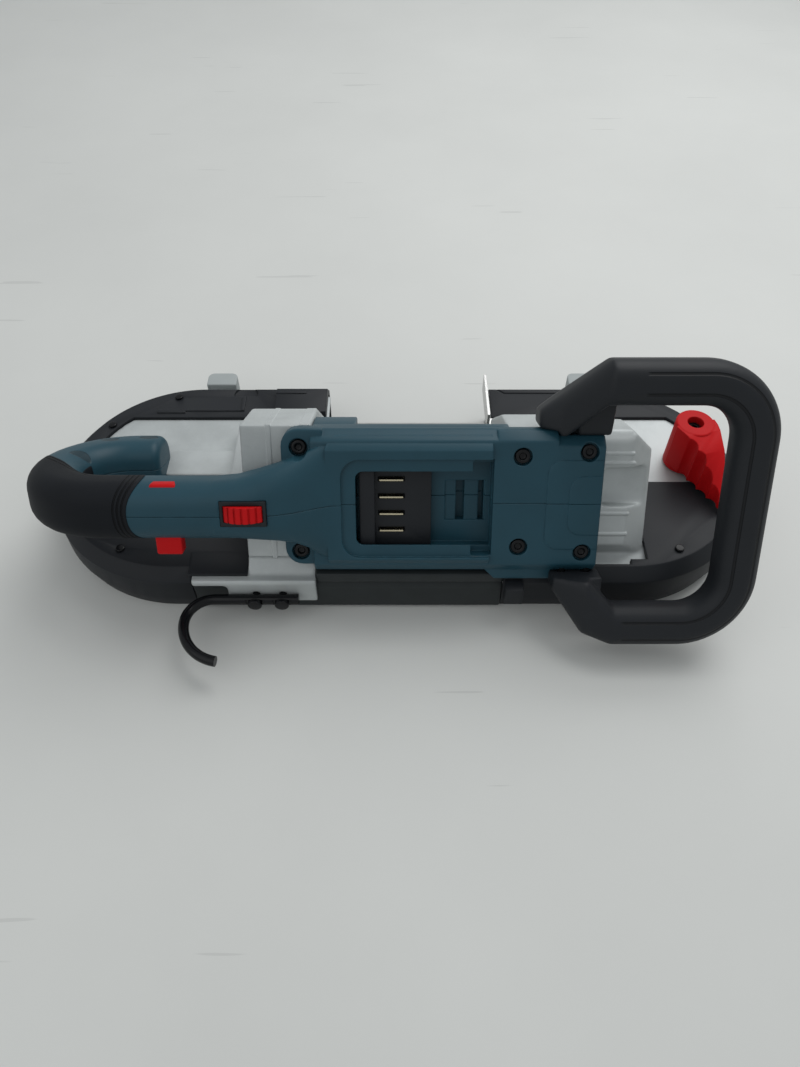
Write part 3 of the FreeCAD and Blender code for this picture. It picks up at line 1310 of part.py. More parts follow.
def loop_feet():
    across = LOOP_WIDTH / 2
    half = LOOP_HIGH / 2
    far_face = IDLER_RISER_FAR
    far_end = (LOOP_FAR_X, LOOP_FAR - across, LOOP_FAR + across, LOOP_U - half, LOOP_U + half)
    near_end = (LOOP_NEAR_X, LOOP_NEAR - across, LOOP_NEAR + across, LOOP_U - half, LOOP_U + half)
    tip_u = FOOT_FAR_U0 + FOOT_SINK
    mid_u = FOOT_FAR_U0 + FOOT_LIFT
    far_foot = foot_loft([(FOOT_FAR_X0, far_face, far_face + FOOT_FAR_TIP, tip_u, tip_u + FOOT_TIP_HIGH),
                          (BODY_STEP_X, far_face - FOOT_SINK, far_face + FOOT_FAR_MID,
                           mid_u, mid_u + FOOT_MID_HIGH), far_end])
    near_u = FOOT_NEAR_U0
    near_in = BODY_NEAR + FOOT_LIFT
    near_foot = foot_loft([(FOOT_NEAR_X0, BODY_NEAR - FOOT_FAR_PAD, near_in, near_u, near_u + FOOT_TIP_HIGH),
                           (FOOT_NEAR_X0 + FOOT_NEAR_RUN, LOOP_NEAR - FOOT_NEAR_SPREAD, near_in,
                            LOOP_U - FOOT_MID_DROP, LOOP_U + FOOT_MID_RISE), near_end])
    far_pad = box(BODY_STEP_X + RUN_GAP, FOOT_FAR_X1, far_face, far_face + FOOT_FAR_PAD,
                  FOOT_FAR_U0, FOOT_FAR_U0 + FOOT_FAR_PAD_HIGH)
    near_pad = box(FOOT_NEAR_X0, FOOT_NEAR_X1, BODY_NEAR - FOOT_NEAR_PAD, BODY_NEAR,
                   near_u, near_u + FOOT_TIP_HIGH)
    clear = box(-BIG, BODY_RIGHT + RUN_GAP, BODY_NEAR, far_face, 0, BIG)
    body_clear = box(-BIG, BODY_STEP_X + RUN_GAP, BODY_NEAR, BODY_FAR + RUN_GAP, 0, BIG)
    return less(joined([far_foot, far_pad, near_foot, near_pad]), [clear, body_clear])


def foot_bolt_lines():
    """Start and end of each front handle bolt: two far, two near."""
    lines = []
    far_u = FOOT_FAR_U0 + BOLT_RISE
    for x in (BODY_STEP_X + BOLT_FAR_INSET, FOOT_FAR_X1 - BOLT_FAR_INSET):
        seat = V(x, IDLER_RISER_FAR + BOLT_FAR_SEAT, far_u)
        lines.append((seat, seat - V(0, BOLT_FAR_SEAT + BOLT_FAR_DEEP, 0)))
    near_u = RISER_U + BOLT_RISE
    for x in (FOOT_NEAR_X0 + BOLT_NEAR_INSET, FOOT_NEAR_X1 - BOLT_NEAR_INSET):
        seat = V(x, BODY_NEAR - BOLT_NEAR_SEAT, near_u)
        lines.append((seat, seat + V(0, BOLT_NEAR_SEAT + BOLT_NEAR_DEEP, 0)))
    out = []
    for a, b in lines:
        out.append((V(a.x, *yz(a.y, a.z)), V(b.x, *yz(b.y, b.z))))
    return out


def loop_grip():
    start = V(LOOP_RIGHT, LOOP_GRIP_S1, LOOP_U)
    length = V(0, LOOP_GRIP_S0 - LOOP_GRIP_S1, 0)
    outer = loop_section(start, length).extrude(length)
    thick = GRIP_THICK
    wire = round_section(0, 0, 0, LOOP_WIDTH - 2 * thick, LOOP_HIGH - 2 * thick, LOOP_ROUND - thick)
    inner = Part.Face(wire)
    inner.rotate(V(0, 0, 0), V(0, 0, 1), -90)
    inner.translate(start)
    return outer.cut(inner.extrude(length))


def front_handle():
    tube = loop_tube().cut(box(-BIG, BODY_RIGHT, BODY_NEAR, IDLER_RISER_FAR, 0, BIG))
    ledge_clear = box(-BIG, BIG, -LEDGE_R - RUN_GAP, BIG, -BIG, PLATE_TOP + RUN_GAP)
    solid = tilted(joined([tube, loop_feet()]).cut(loop_grip())).cut(ledge_clear)
    radius = SCREW_SHANK_R + SCREW_GAP
    holes = []
    for a, b in foot_bolt_lines():
        out = (a - b).normalize()
        holes.append(rod(radius, a, b))
        holes.append(rod(SCREW_HEAD_R + 1, a, a + out * BIG))
    return less(solid, holes)


def front_handle_bolts():
    bolts = []
    for a, b in foot_bolt_lines():
        out = (a - b).normalize()
        head = rod(SCREW_HEAD_R, a, a + out * SCREW_HEAD_HIGH)
        bolts.append(joined([head, rod(SCREW_SHANK_R, a, b + out * BOLT_END_GAP)]))
    return Part.makeCompound(bolts)


# Tension gear
def tension_carriage():
    right = LEVER_X + CAM_THROW + CAM_R + CAM_PLAY + 6
    keel_top = LEDGE_BOTTOM + RUN_GAP
    wide = box(CARRIAGE_LEFT, right, -CARRIAGE_HALF, CARRIAGE_HALF, keel_top, POCKET_TOP - RUN_GAP)
    keel = box(CARRIAGE_LEFT, right, -CARRIAGE_KEEL_HALF, CARRIAGE_KEEL_HALF, RAIL_BOTTOM, keel_top)
    half_x = CAM_R + CAM_PLAY
    half_y = CAM_R + CAM_THROW + RUN_GAP
    cam_x = LEVER_X + CAM_THROW
    window = box(cam_x - half_x, cam_x + half_x, LEVER_Y - half_y, LEVER_Y + half_y, 0, BIG)
    return less(joined([wide, keel]), [window, disc(AXLE_R + SEAT_GAP, WHEEL_X, 0, 0, BIG)])


def carriage_rails():
    left = CARRIAGE_LEFT - CARRIAGE_TRAVEL
    right = LEVER_X + CAM_THROW + CAM_R + CAM_PLAY + 6
    rails = []
    for side in (-1, 1):
        ends = sorted((side * (CARRIAGE_KEEL_HALF + RUN_GAP), side * RAIL_HALF))
        rails.append(box(left, right, ends[0], ends[1], RAIL_BOTTOM, LEDGE_BOTTOM))
    return Part.makeCompound(rails)


def idler_axle():
    low = WHEEL_LOW + HUB_SINK - NUT_HIGH - 1
    axle = disc(AXLE_R, WHEEL_X, 0, low, POCKET_TOP - RUN_GAP)
    return joined([axle, disc(COLLAR_R + 1, WHEEL_X, 0, WHEEL_HIGH + RUN_GAP, RAIL_BOTTOM)])


def idler_bearing():
    low = WHEEL_LOW + HUB_SINK
    return ring(HUB_R - 4 - SEAT_GAP, AXLE_R + SHAFT_GAP, WHEEL_X, 0, low, WHEEL_HIGH)


def lever_cam():
    cam_top = POCKET_TOP - RUN_GAP / 2
    cam = disc(CAM_R, LEVER_X + CAM_THROW, LEVER_Y, RAIL_BOTTOM + 0.4, cam_top)
    shaft = disc(LEVER_SHAFT_R, LEVER_X, LEVER_Y, cam_top, LEVER_TOP - 10)
    thread = disc(SCREW_SHANK_R + SEAT_GAP, LEVER_X, LEVER_Y, LEVER_TOP - 24, LEVER_TOP)
    return joined([cam, shaft]).cut(thread)


def tension_lever():
    low = PLATE_TOP + RUN_GAP
    hub = disc(LEVER_HUB_R, LEVER_X, LEVER_Y, low, LEVER_TOP)
    half = LEVER_HUB_R - 2
    outline = [(LEVER_X, LEVER_Y - half), (LEVER_X + LEVER_REACH - 10, LEVER_Y - half + 4),
               (LEVER_X + LEVER_REACH, LEVER_Y - 2), (LEVER_X + LEVER_REACH - 4, LEVER_Y + half - 3),
               (LEVER_X + 12, LEVER_Y + half)]
    arm = prism_z(outline, low + 6, LEVER_TOP - 4)
    ribs = []
    for n in range(4):
        x = LEVER_X + LEVER_HUB_R + 5 + 9 * n
        ribs.append(box(x, x + 4, LEVER_Y - half - 3, LEVER_Y + half + 3, LEVER_TOP - 6, LEVER_TOP))
    arm = turned(less(arm, ribs), V(LEVER_X, LEVER_Y, 0), V(0, 0, 1), LEVER_ANGLE)
    cuts = [disc(LEVER_SHAFT_R + SEAT_GAP, LEVER_X, LEVER_Y, 0, LEVER_TOP - 10),
            disc(SCREW_SHANK_R + 2 * SCREW_GAP, LEVER_X, LEVER_Y, 0, BIG),
            disc(SCREW_HEAD_R + 1, LEVER_X, LEVER_Y, LEVER_TOP - 8, BIG)]
    return less(joined([hub, arm]), cuts)


def lever_screw():
    seat = LEVER_TOP - 8
    head = disc(SCREW_HEAD_R, LEVER_X, LEVER_Y, seat, seat + SCREW_HEAD_HIGH)
    socket = disc(SCREW_SHANK_R, LEVER_X, LEVER_Y, seat + 1, seat + SCREW_HEAD_HIGH)
    return joined([head.cut(socket), disc(SCREW_SHANK_R, LEVER_X, LEVER_Y, seat - 15, seat + 0.5)])


# Blade guides
def roller_offset():
    return ROLLER_R + BLADE_THICK / 2 + RUN_GAP


def guide_roller(x, side):
    s = side * roller_offset()
    return on_blade(ring(ROLLER_R, PIN_R + SHAFT_GAP, x, s, -ROLLER_HALF, ROLLER_HALF))


def guide_bracket(x):
    reach = roller_offset() + PIN_R + 2
    parts = [box(x - BRACKET_HALF, x + BRACKET_HALF, -reach, reach, BRACKET_U0, BRACKET_U1)]
    backer = BLADE_WIDTH / 2 + RUN_GAP
    parts.append(box(x - BRACKET_HALF + 2, x + BRACKET_HALF - 2, -2, 2, backer, BRACKET_U0))
    for side in (-1, 1):
        s = side * roller_offset()
        parts.append(disc(PIN_R, x, s, -ROLLER_HALF - RUN_GAP, BRACKET_U0))
        low = -ROLLER_HALF - RUN_GAP
        parts.append(disc(PIN_R + PIN_CAP, x, s, ROLLER_HALF + RUN_GAP, BRACKET_U0))
        parts.append(disc(PIN_R + PIN_CAP, x, s, low - PIN_CAP, low))
    arm = box(x - BRACKET_HALF, x + BRACKET_HALF, ARM_Y0, ARM_Y1, ARM_Z0, LEDGE_BOTTOM)
    return joined([on_blade(part) for part in parts] + [arm])


def work_stop():
    """Folded steel plate against which the work is drawn."""
    x = THROAT_RIGHT - RUN_GAP
    near = PLATE_FAR - STOP_SET
    far = PLATE_FAR - 1
    middle = (near + far) / 2
    high = PLATE_TOP + STOP_THICK
    upright = box(x - STOP_THICK, x, near, GUARD_R - STOP_SET / 2, PLATE_TOP, PLATE_TOP + STOP_HIGH)
    foot = box(x - STOP_THICK, x + STOP_LONG, near, far, PLATE_TOP, high)
    toe = disc((far - near) / 2, x + STOP_LONG, middle, PLATE_TOP, high)
    hole = disc(SCREW_SHANK_R + SCREW_GAP, x + STOP_LONG - STOP_THICK, middle, 0, BIG)
    return joined([upright, foot, toe]).cut(hole)


# Hook, feet and screws
def hang_hook():
    centre = V(HOOK_X, HOOK_CENTRE_Y, HOOK_Z)
    bar = rod(HOOK_ROD_R, V(HOOK_RIGHT, HOOK_Y, HOOK_Z), V(HOOK_X, HOOK_Y, HOOK_Z))
    face = Part.Face(Part.Wire(Part.makeCircle(HOOK_ROD_R, V(HOOK_X, HOOK_Y, HOOK_Z), V(1, 0, 0))))
    bend = face.revolve(centre, V(0, 0, 1), 90)
    side = V(HOOK_X - HOOK_BEND_R, HOOK_CENTRE_Y, HOOK_Z)
    side_face = Part.Face(Part.Wire(Part.makeCircle(HOOK_ROD_R, side, V(0, 1, 0))))
    mouth = side_face.revolve(side + V(HOOK_OPEN_R, 0, 0), V(0, 0, 1), HOOK_SWEEP)
    holes = []
    for x in HOOK_SCREW_X:
        holes.append(rod(SCREW_SHANK_R + SCREW_GAP, V(x, HOOK_Y - 10, HOOK_Z), V(x, HOOK_Y + 10, HOOK_Z)))
        flat = HOOK_Y - HOOK_ROD_R + HOOK_FLAT
        holes.append(box(x - HOOK_FLAT_HALF, x + HOOK_FLAT_HALF, HOOK_Y - 10, flat,
                         HOOK_Z - HOOK_FLAT_HALF, HOOK_Z + HOOK_FLAT_HALF))
    return less(joined([bar, bend, mouth]), holes)


def hook_screws():
    solids = []
    for x in HOOK_SCREW_X:
        seat = HOOK_Y - HOOK_ROD_R + HOOK_FLAT
        head = rod(SCREW_HEAD_R, V(x, seat - SCREW_HEAD_HIGH, HOOK_Z), V(x, seat, HOOK_Z))
        shank = rod(SCREW_SHANK_R, V(x, seat, HOOK_Z), V(x, STRIP_NEAR + STRIP_WALL - 0.2, HOOK_Z))
        solids.append(joined([head, shank]))
    return Part.makeCompound(solids)


def rest_feet():
    solids = []
    half = FOOT_WIDE / 2
    for x in FOOT_X:
        inner = LEDGE_R - FOOT_STRAP_LONG
        strap = box(x - half, x + half, inner, GUARD_R + 1, FOOT_STRAP_BOTTOM, LEDGE_BOTTOM)
        pad = box(x - half, x + half, GUARD_R + RUN_GAP, FOOT_REACH, FOOT_PAD_BOTTOM, PLATE_TOP)
        corners = []
        for edge in pad.Edges:
            upright = abs(edge.Vertexes[0].Z - edge.Vertexes[1].Z) > 1
            if upright and abs(edge.CenterOfMass.y - FOOT_REACH) < 1e-6:
                corners.append(edge)
        solids.append(joined([strap, pad.makeFillet(FOOT_PAD_ROUND, corners)]))
    return Part.makeCompound(solids)


def housing_screws():
    solids = []
    for screws, top in ((PLATE_SCREWS, BODY_TOP), (EAR_SCREWS, EAR_TOP)):
        seat = top - SCREW_SINK
        for x, s in screws:
            head = disc(SCREW_HEAD_R, x, s, seat, seat + SCREW_HEAD_HIGH)
            socket = disc(SCREW_SHANK_R - 0.2, x, s, seat + 1.4, seat + SCREW_HEAD_HIGH)
            shank = disc(SCREW_SHANK_R, x, s, seat - SCREW_LONG, seat)
            solids.append(tilted(joined([head.cut(socket), shank])))
    return Part.makeCompound(solids)


def guard_screws():
    solids = []
    for side in (-1, 1):
        for x, y in guard_screw_places(side):
            head = disc(GUARD_SCREW_R, x, y, GUARD_TOP, GUARD_TOP + GUARD_SCREW_HIGH)
            shank = disc(GUARD_SCREW_R / 2, x, y, LEDGE_BOTTOM, GUARD_TOP)
            solids.append(joined([head, shank]))
    return Part.makeCompound(solids)


SHELL = housing()
PARTS = {
    "drive_frame": drive_frame(),
    "gear_case": gear_case(),
    "idler_frame": idler_frame(),
    "frame_spine": frame_spine(),
    "rear_guard": rear_guard(),
    "front_guard": front_guard(),
    "spine_cover": spine_cover(),
    "housing_near_half": SHELL.common(seam_side(False)),
    "housing_far_half": SHELL.common(seam_side(True)),
    "handle_grip": handle_grip(),
    "front_handle": front_handle(),
    "front_handle_grip": tilted(loop_grip()),
    "front_handle_bolts": front_handle_bolts(),
    "terminal_block": terminal_block(),
    "terminal_blades": terminal_blades(),
    "controller_board": controller_board(),
    "switch_module": switch_module(),
    "trigger": trigger(),
    "lock_off_button": lock_off_button(),
    "speed_dial": speed_dial(),
    "dial_bezel": dial_bezel(),
    "blade": blade(),
    "drive_wheel": wheel(-WHEEL_X, DRIVE_SHAFT_R + SEAT_GAP),
    "drive_tyre": tyre(-WHEEL_X),
    "drive_shaft": drive_shaft(),
    "drive_wheel_nut": wheel_nut(-WHEEL_X, DRIVE_SHAFT_R + SEAT_GAP),
    "drive_gear": drive_gear(),
    "drive_bearings": drive_bearings(),
    "jack_shaft": jack_shaft(),
    "jack_gear": jack_gear(),
    "gear_bearings": gear_bearings(),
    "gearbox_plate": gearbox_plate(),
    "motor_case": motor_case(),
    "motor_stator": motor_stator(),
    "motor_rotor": motor_rotor(),
    "motor_pinion": motor_pinion(),
    "motor_fan": motor_fan(),
    "motor_end_cap": motor_end_cap(),
    "idler_wheel": wheel(WHEEL_X, HUB_R - 4),
    "idler_tyre": tyre(WHEEL_X),
    "idler_bearing": idler_bearing(),
    "idler_axle": idler_axle(),
    "idler_wheel_nut": wheel_nut(WHEEL_X, AXLE_R + SEAT_GAP),
    "tension_carriage": tension_carriage(),
    "carriage_rails": carriage_rails(),
    "tension_lever": tension_lever(),
    "lever_cam": lever_cam(),
    "lever_screw": lever_screw(),
    "rear_guide_bracket": guide_bracket(REAR_GUIDE_X),
    "front_guide_bracket": guide_bracket(FRONT_GUIDE_X),
    "rear_guide_roller_near": guide_roller(REAR_GUIDE_X, -1),
    "rear_guide_roller_far": guide_roller(REAR_GUIDE_X, 1),
    "front_guide_roller_near": guide_roller(FRONT_GUIDE_X, -1),
    "front_guide_roller_far": guide_roller(FRONT_GUIDE_X, 1),
    "work_stop": work_stop(),
    "hang_hook": hang_hook(),
    "hook_screws": hook_screws(),
    "housing_screws": housing_screws(),
    "guard_screws": guard_screws(),
    "rest_feet": rest_feet(),
}

os.makedirs("parts", exist_ok=True)
for name, shape in PARTS.items():
    placed = shape.copy()
    placed.translate(ORIGIN * -1)
    placed.exportStep("parts/" + name + ".step")
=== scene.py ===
import functools
import json
import math

import bmesh
import bpy
from bpy.props import FloatProperty, FloatVectorProperty, PointerProperty
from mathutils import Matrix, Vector

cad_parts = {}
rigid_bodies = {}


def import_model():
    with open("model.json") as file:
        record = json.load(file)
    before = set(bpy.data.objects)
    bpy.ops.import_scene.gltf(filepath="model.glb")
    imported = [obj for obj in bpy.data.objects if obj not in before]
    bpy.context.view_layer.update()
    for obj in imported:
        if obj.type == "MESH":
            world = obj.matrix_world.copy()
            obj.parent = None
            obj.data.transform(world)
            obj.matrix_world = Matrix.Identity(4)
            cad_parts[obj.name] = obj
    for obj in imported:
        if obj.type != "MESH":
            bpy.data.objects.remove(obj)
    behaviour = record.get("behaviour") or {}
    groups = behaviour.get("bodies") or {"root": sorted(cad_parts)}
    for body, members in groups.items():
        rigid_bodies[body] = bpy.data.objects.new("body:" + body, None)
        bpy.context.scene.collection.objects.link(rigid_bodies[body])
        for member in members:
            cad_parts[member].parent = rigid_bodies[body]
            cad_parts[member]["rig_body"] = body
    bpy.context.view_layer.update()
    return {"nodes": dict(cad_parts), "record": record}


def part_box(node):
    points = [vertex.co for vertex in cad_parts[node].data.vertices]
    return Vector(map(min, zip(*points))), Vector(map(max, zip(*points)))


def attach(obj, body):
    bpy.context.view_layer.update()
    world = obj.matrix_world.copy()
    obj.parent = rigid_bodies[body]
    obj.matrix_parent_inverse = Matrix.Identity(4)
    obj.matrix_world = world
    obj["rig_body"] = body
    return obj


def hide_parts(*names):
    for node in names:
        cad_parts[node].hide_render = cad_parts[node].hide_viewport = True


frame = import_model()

bl_info = {
    "name": "Portable band saw",
    "version": (1, 0, 0),
    "blender": (4, 5, 0),
    "location": "3D View > Sidebar > Band saw",
    "description": "Models and finishes a cordless portable band saw that lies on its wheel side",
    "category": "Add Mesh",
}

MM = 0.001
FINISHES = {}
SLOTS = {part["node"]: part["material_slot"] for part in frame["record"]["subparts"]}

# The tool's own upright axes, x along it, s across it and u up, in the pose in which it lies
TWIST = math.radians(60)
FEET_REACH = 29.2 * MM
TOOL_RISE = 20 * MM
TOOL_ORIGIN = Vector((0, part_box("rest_feet")[1][1] - FEET_REACH, TOOL_RISE))

# The clamshell's parting plane and the rear handle's lean about the line of its upper leg
SEAM_S = -21.4
HANDLE_U = 177.0
HANDLE_LEAN = math.radians(3)

# Faces that meet at a smaller angle than this are shaded as one
SMOOTH_ANGLE = math.radians(32)


def amount(name, description, default, **limits):
    """A number in the add-on's panel."""
    return FloatProperty(name=name, description=description, default=default, **limits)


def length(name, description, millimetres):
    """A size in the add-on's panel, with its default in millimetres."""
    return amount(name, description, millimetres * MM, min=0, unit="LENGTH", precision=5)


def colour(name, description, default):
    """A colour in the add-on's panel."""
    return FloatVectorProperty(
        name=name, description=description, default=default, subtype="COLOR", min=0, max=1)


class SawSizes(bpy.types.PropertyGroup):
    """Sizes of the modelled pieces."""
    edge_round: length("Edge rounding", "Rounding of moulded and cast edges", 1.2)
    seam_gap: length("Seam gap", "Open line between the two housing halves", 0.3)
    grip_stand: length("Grip stand", "How far the grip stands over the handle", 0.3)
    groove_width: length("Groove width", "Width of the lines round the grips", 1.1)
    bay_round: length("Bay corner", "Corner radius of the battery bay's rim", 16.0)
    panel_step: length("Panel step", "Height of each step on the right housing", 0.7)
    lever_round: length("Lever rounding", "Rounding of the tension lever's edges", 1.4)
    leg_round: length("Leg rounding", "Rounding of the lower end of the rear handle", 6.0)
    cast_voxel: length("Casting grain", "Fineness of the castings' skin", 1.2)
    loop_voxel: length("Loop grain", "Fineness of the front handle's skin", 1.3)
    strip_rise: length("Strip rise", "Height of the strips on the guards", 1.0)


class SawColours(bpy.types.PropertyGroup):
    """Base colours of the finishes."""
    teal: colour("Teal", "Glass-filled housing plastic", (0.013, 0.054, 0.077))
    black: colour("Black plastic", "Guards and front handle", (0.013, 0.015, 0.018))
    rubber: colour("Rubber", "Overmoulded grips", (0.009, 0.0105, 0.013))
    sheet: colour("Dark sheet", "Painted steel cover", (0.020, 0.024, 0.025))
    cast: colour("Cast aluminium", "Silver paint on the castings", (0.46, 0.49, 0.49))
    red: colour("Red", "Lever, dial and buttons", (0.50, 0.007, 0.009))
    steel: colour("Bright steel", "Blade, shafts and bearings", (0.50, 0.50, 0.49))
    black_steel: colour("Black steel", "Hook and screws", (0.006, 0.0065, 0.0075))
    brass: colour("Brass", "Battery contacts", (0.64, 0.57, 0.40))
    board: colour("Board", "Circuit board lacquer", (0.01, 0.11, 0.05))
    grey: colour("Grey plastic", "Rest feet", (0.33, 0.36, 0.36))
    rubbed: colour("Rubbed steel", "Steel that shows through worn paint", (0.22, 0.22, 0.22))
    floor: colour("Floor", "Studio floor", (0.60, 0.61, 0.59))
    room: colour("Room", "Tint of the even light", (0.95, 0.98, 1.0))


class SawStage(bpy.types.PropertyGroup):
    """Camera and light."""
    camera_place: FloatVectorProperty(
        name="Camera place", description="Where the camera stands", default=(0.0, -0.3871, 0.468),
        subtype="TRANSLATION", unit="LENGTH")
    camera_tilt: amount("Camera tilt", "How far the view is raised from straight down", math.radians(39),
                        subtype="ANGLE")
    lens: amount("Lens", "Focal length on a 36 mm frame height", 27.02, min=1)
    key_power: amount("Key light", "Power of the large lamp behind", 15.0, min=0)
    fill_power: amount("Fill light", "Power of the lamp in front", 4.0, min=0)
    world_level: amount("Room light", "Strength of the even light", 0.5, min=0)
    floor_half: amount("Floor half", "Half the floor's side", 4.0, unit="LENGTH")


def sizes():
    return bpy.context.scene.saw_sizes


def colours():
    return bpy.context.scene.saw_colours


# Modelling
def clear_selection():
    if bpy.context.mode != "OBJECT":
        bpy.ops.object.mode_set(mode="OBJECT")
    bpy.ops.object.select_all(action="DESELECT")


def settle(name):
    """Name the active object and put its place into its mesh."""
    bpy.ops.object.transform_apply(location=True, rotation=True, scale=True)
    obj = bpy.context.object
    obj.name = name
    obj.data.name = name
    return obj


def activate(obj):
    clear_selection()
    obj.select_set(True)
    bpy.context.view_layer.objects.active = obj


def point(x, s, u):
    """Millimetres to metres."""
    return Vector((x, s, u)) * MM


def block(name, low, high):
    """A box between two corners in millimetres."""
    clear_selection()
    bpy.ops.mesh.primitive_cube_add(size=1, location=(point(*low) + point(*high)) / 2)
    bpy.context.object.scale = point(*high) - point(*low)
    return settle(name)


def drum(name, centre, radius, depth, angles=(0, 0, 0), sides=64):
    """A cylinder round a centre, in millimetres."""
    clear_selection()
    bpy.ops.mesh.primitive_cylinder_add(
        vertices=sides, radius=radius * MM, depth=depth * MM, location=point(*centre), rotation=angles)
    return settle(name)


def pick(obj, kind, test):
    """Go into edit mode with only the faces, edges or verts selected that pass a test."""
    activate(obj)
    bpy.ops.object.mode_set(mode="EDIT")
    bpy.ops.mesh.select_mode(type={"faces": "FACE", "edges": "EDGE", "verts": "VERT"}[kind])
    bpy.ops.mesh.select_all(action="DESELECT")
    mesh = bmesh.from_edit_mesh(obj.data)
    for item in getattr(mesh, kind):
        if test(item):
            item.select_set(True)
    mesh.select_flush_mode()
    bmesh.update_edit_mesh(obj.data)


def everything(item):
    return True


def leave_edit():
    bpy.ops.object.mode_set(mode="OBJECT")


def trim(obj, through, normal):
    """Cut away what lies beyond a plane through a point in millimetres."""
    pick(obj, "faces", everything)
    way = Vector(normal).normalized()
    bpy.ops.mesh.bisect(plane_co=point(*through), plane_no=way, use_fill=True, clear_outer=True)
    leave_edit()


def round_edges(obj, test, radius, segments=4):
    """Round the edges that pass a test; the radius is in metres."""
    pick(obj, "edges", test)
    bpy.ops.mesh.bevel(offset=radius, segments=segments, affect="EDGES", clamp_overlap=True)
    leave_edit()


def soften(obj, radius, segments=3, angle=28):
    """Round every sharp edge with a modifier; the radius is in metres."""
    activate(obj)
    bevel = obj.modifiers.new("soften", "BEVEL")
    bevel.width = radius
    bevel.segments = segments
    bevel.limit_method = "ANGLE"
    bevel.angle_limit = math.radians(angle)
    bpy.ops.object.modifier_apply(modifier=bevel.name)


def combine(obj, tool, operation):
    activate(obj)
    boolean = obj.modifiers.new("combine", "BOOLEAN")
    boolean.object = tool
    boolean.operation = operation
    boolean.solver = "EXACT"
    bpy.ops.object.modifier_apply(modifier=boolean.name)
    bpy.data.objects.remove(tool)


def weld(obj, *tools):
    for tool in tools:
        combine(obj, tool, "UNION")


def carve(obj, *tools):
    for tool in tools:
        combine(obj, tool, "DIFFERENCE")


def outward(obj):
    """Merge doubled points and turn every face outwards."""
    pick(obj, "faces", everything)
    bpy.ops.mesh.remove_doubles(threshold=1e-6)
    bpy.ops.mesh.normals_make_consistent(inside=False)
    leave_edit()


def copy_of(obj, name):
    activate(obj)
    bpy.ops.object.duplicate()
    double = bpy.context.object
    double.name = name
    double.data.name = name
    return double


def place(obj, where, angles):
    """Turn a finished shape about the origin and shift it, in metres."""
    activate(obj)
    obj.rotation_euler = angles
    obj.location = where
    bpy.ops.object.transform_apply(location=True, rotation=True, scale=True)
    return obj


def turn(obj, angle, centre, axis=0):
    """Turn a finished shape about an x, y or z line through a centre in metres."""
    place(obj, -centre, (0, 0, 0))
    return place(obj, centre, [angle if n == axis else 0 for n in range(3)])


def lean(obj):
    return turn(obj, HANDLE_LEAN, point(0, SEAM_S, HANDLE_U))


def lay(obj):
    """From the tool's upright axes to the lying pose."""
    return place(obj, TOOL_ORIGIN, (TWIST, 0, 0))


def join(obj, *others):
    activate(obj)
    for other in others:
        other.select_set(True)
    bpy.ops.object.join()


def twin(name, *nodes):
    """Copies of CAD nodes as one mesh, with doubled points merged and flat faces whole."""
    clear_selection()
    for node in nodes:
        frame["nodes"][node].select_set(True)
    bpy.context.view_layer.objects.active = frame["nodes"][nodes[0]]
    bpy.ops.object.duplicate()
    if len(nodes) > 1:
        bpy.ops.object.join()
    obj = bpy.context.object
    bpy.ops.object.parent_clear(type="CLEAR_KEEP_TRANSFORM")
    for tag in list(obj.keys()):
        del obj[tag]
    obj.name = name
    obj.data = obj.data.copy()
    obj.data.name = name
    pick(obj, "faces", everything)
    bpy.ops.mesh.remove_doubles(threshold=1e-5)
    bpy.ops.mesh.dissolve_limited(angle_limit=math.radians(0.5))
    leave_edit()
    return obj


def axis_of(node):
    """Where a node's upright axis stands on the floor."""
    low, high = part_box(node)
    return Vector(((low[0] + high[0]) / 2, (low[1] + high[1]) / 2, 0))


def body_of(node):
    """The body that a CAD node rides on."""
    return frame["nodes"][node]["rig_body"]


def melt(obj, voxel, passes):
    """Run a shape into one skin whose edges are rounded as in a moulding; the voxel is in metres."""
    activate(obj)
    remesh = obj.modifiers.new("skin", "REMESH")
    remesh.mode = "VOXEL"
    remesh.voxel_size = voxel
    bpy.ops.object.modifier_apply(modifier=remesh.name)
    smooth = obj.modifiers.new("ease", "SMOOTH")
    smooth.factor = 0.5
    smooth.iterations = passes
    bpy.ops.object.modifier_apply(modifier=smooth.name)


def present(obj, body, finish, slot, *nodes):
    """Drop doubled faces, shade a finished piece, let it ride on its body and stand for its CAD nodes."""
    activate(obj)
    obj.data.validate()
    bpy.ops.object.shade_smooth_by_angle(angle=SMOOTH_ANGLE)
    obj.data.materials.clear()
    obj.data.materials.append(finish)
    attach(obj, body)
    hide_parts(*nodes)


# Materials
class Field:
    """A socket whose arithmetic adds Math nodes to its finish."""

    def __init__(self, finish, socket):
        self.finish = finish
        self.socket = socket

    def math(self, operation, *others):
        inputs = dict(enumerate((self,) + others))
        return self.finish.node("ShaderNodeMath", {"operation": operation}, inputs)

    def __add__(self, other):
        return self.math("ADD", other)

    __radd__ = __add__

    def __sub__(self, other):
        return self.math("SUBTRACT", other)

    def __rsub__(self, other):
        return self.finish.node("ShaderNodeMath", {"operation": "SUBTRACT"}, {0: other, 1: self})

    def __mul__(self, other):
        return self.math("MULTIPLY", other)

    def __truediv__(self, other):
        return self.math("DIVIDE", other)

    def __abs__(self):
        return self.math("ABSOLUTE")

    def most(self, other):
        return self.math("MAXIMUM", other)

    def root(self):
        return self.math("SQRT")

    def step(self, low, high):
        """0 below low, 1 above high, smooth between; low may be the larger."""
        return self.finish.node("ShaderNodeMapRange", {"interpolation_type": "SMOOTHSTEP"},
                                {"Value": self, "From Min": low, "From Max": high})


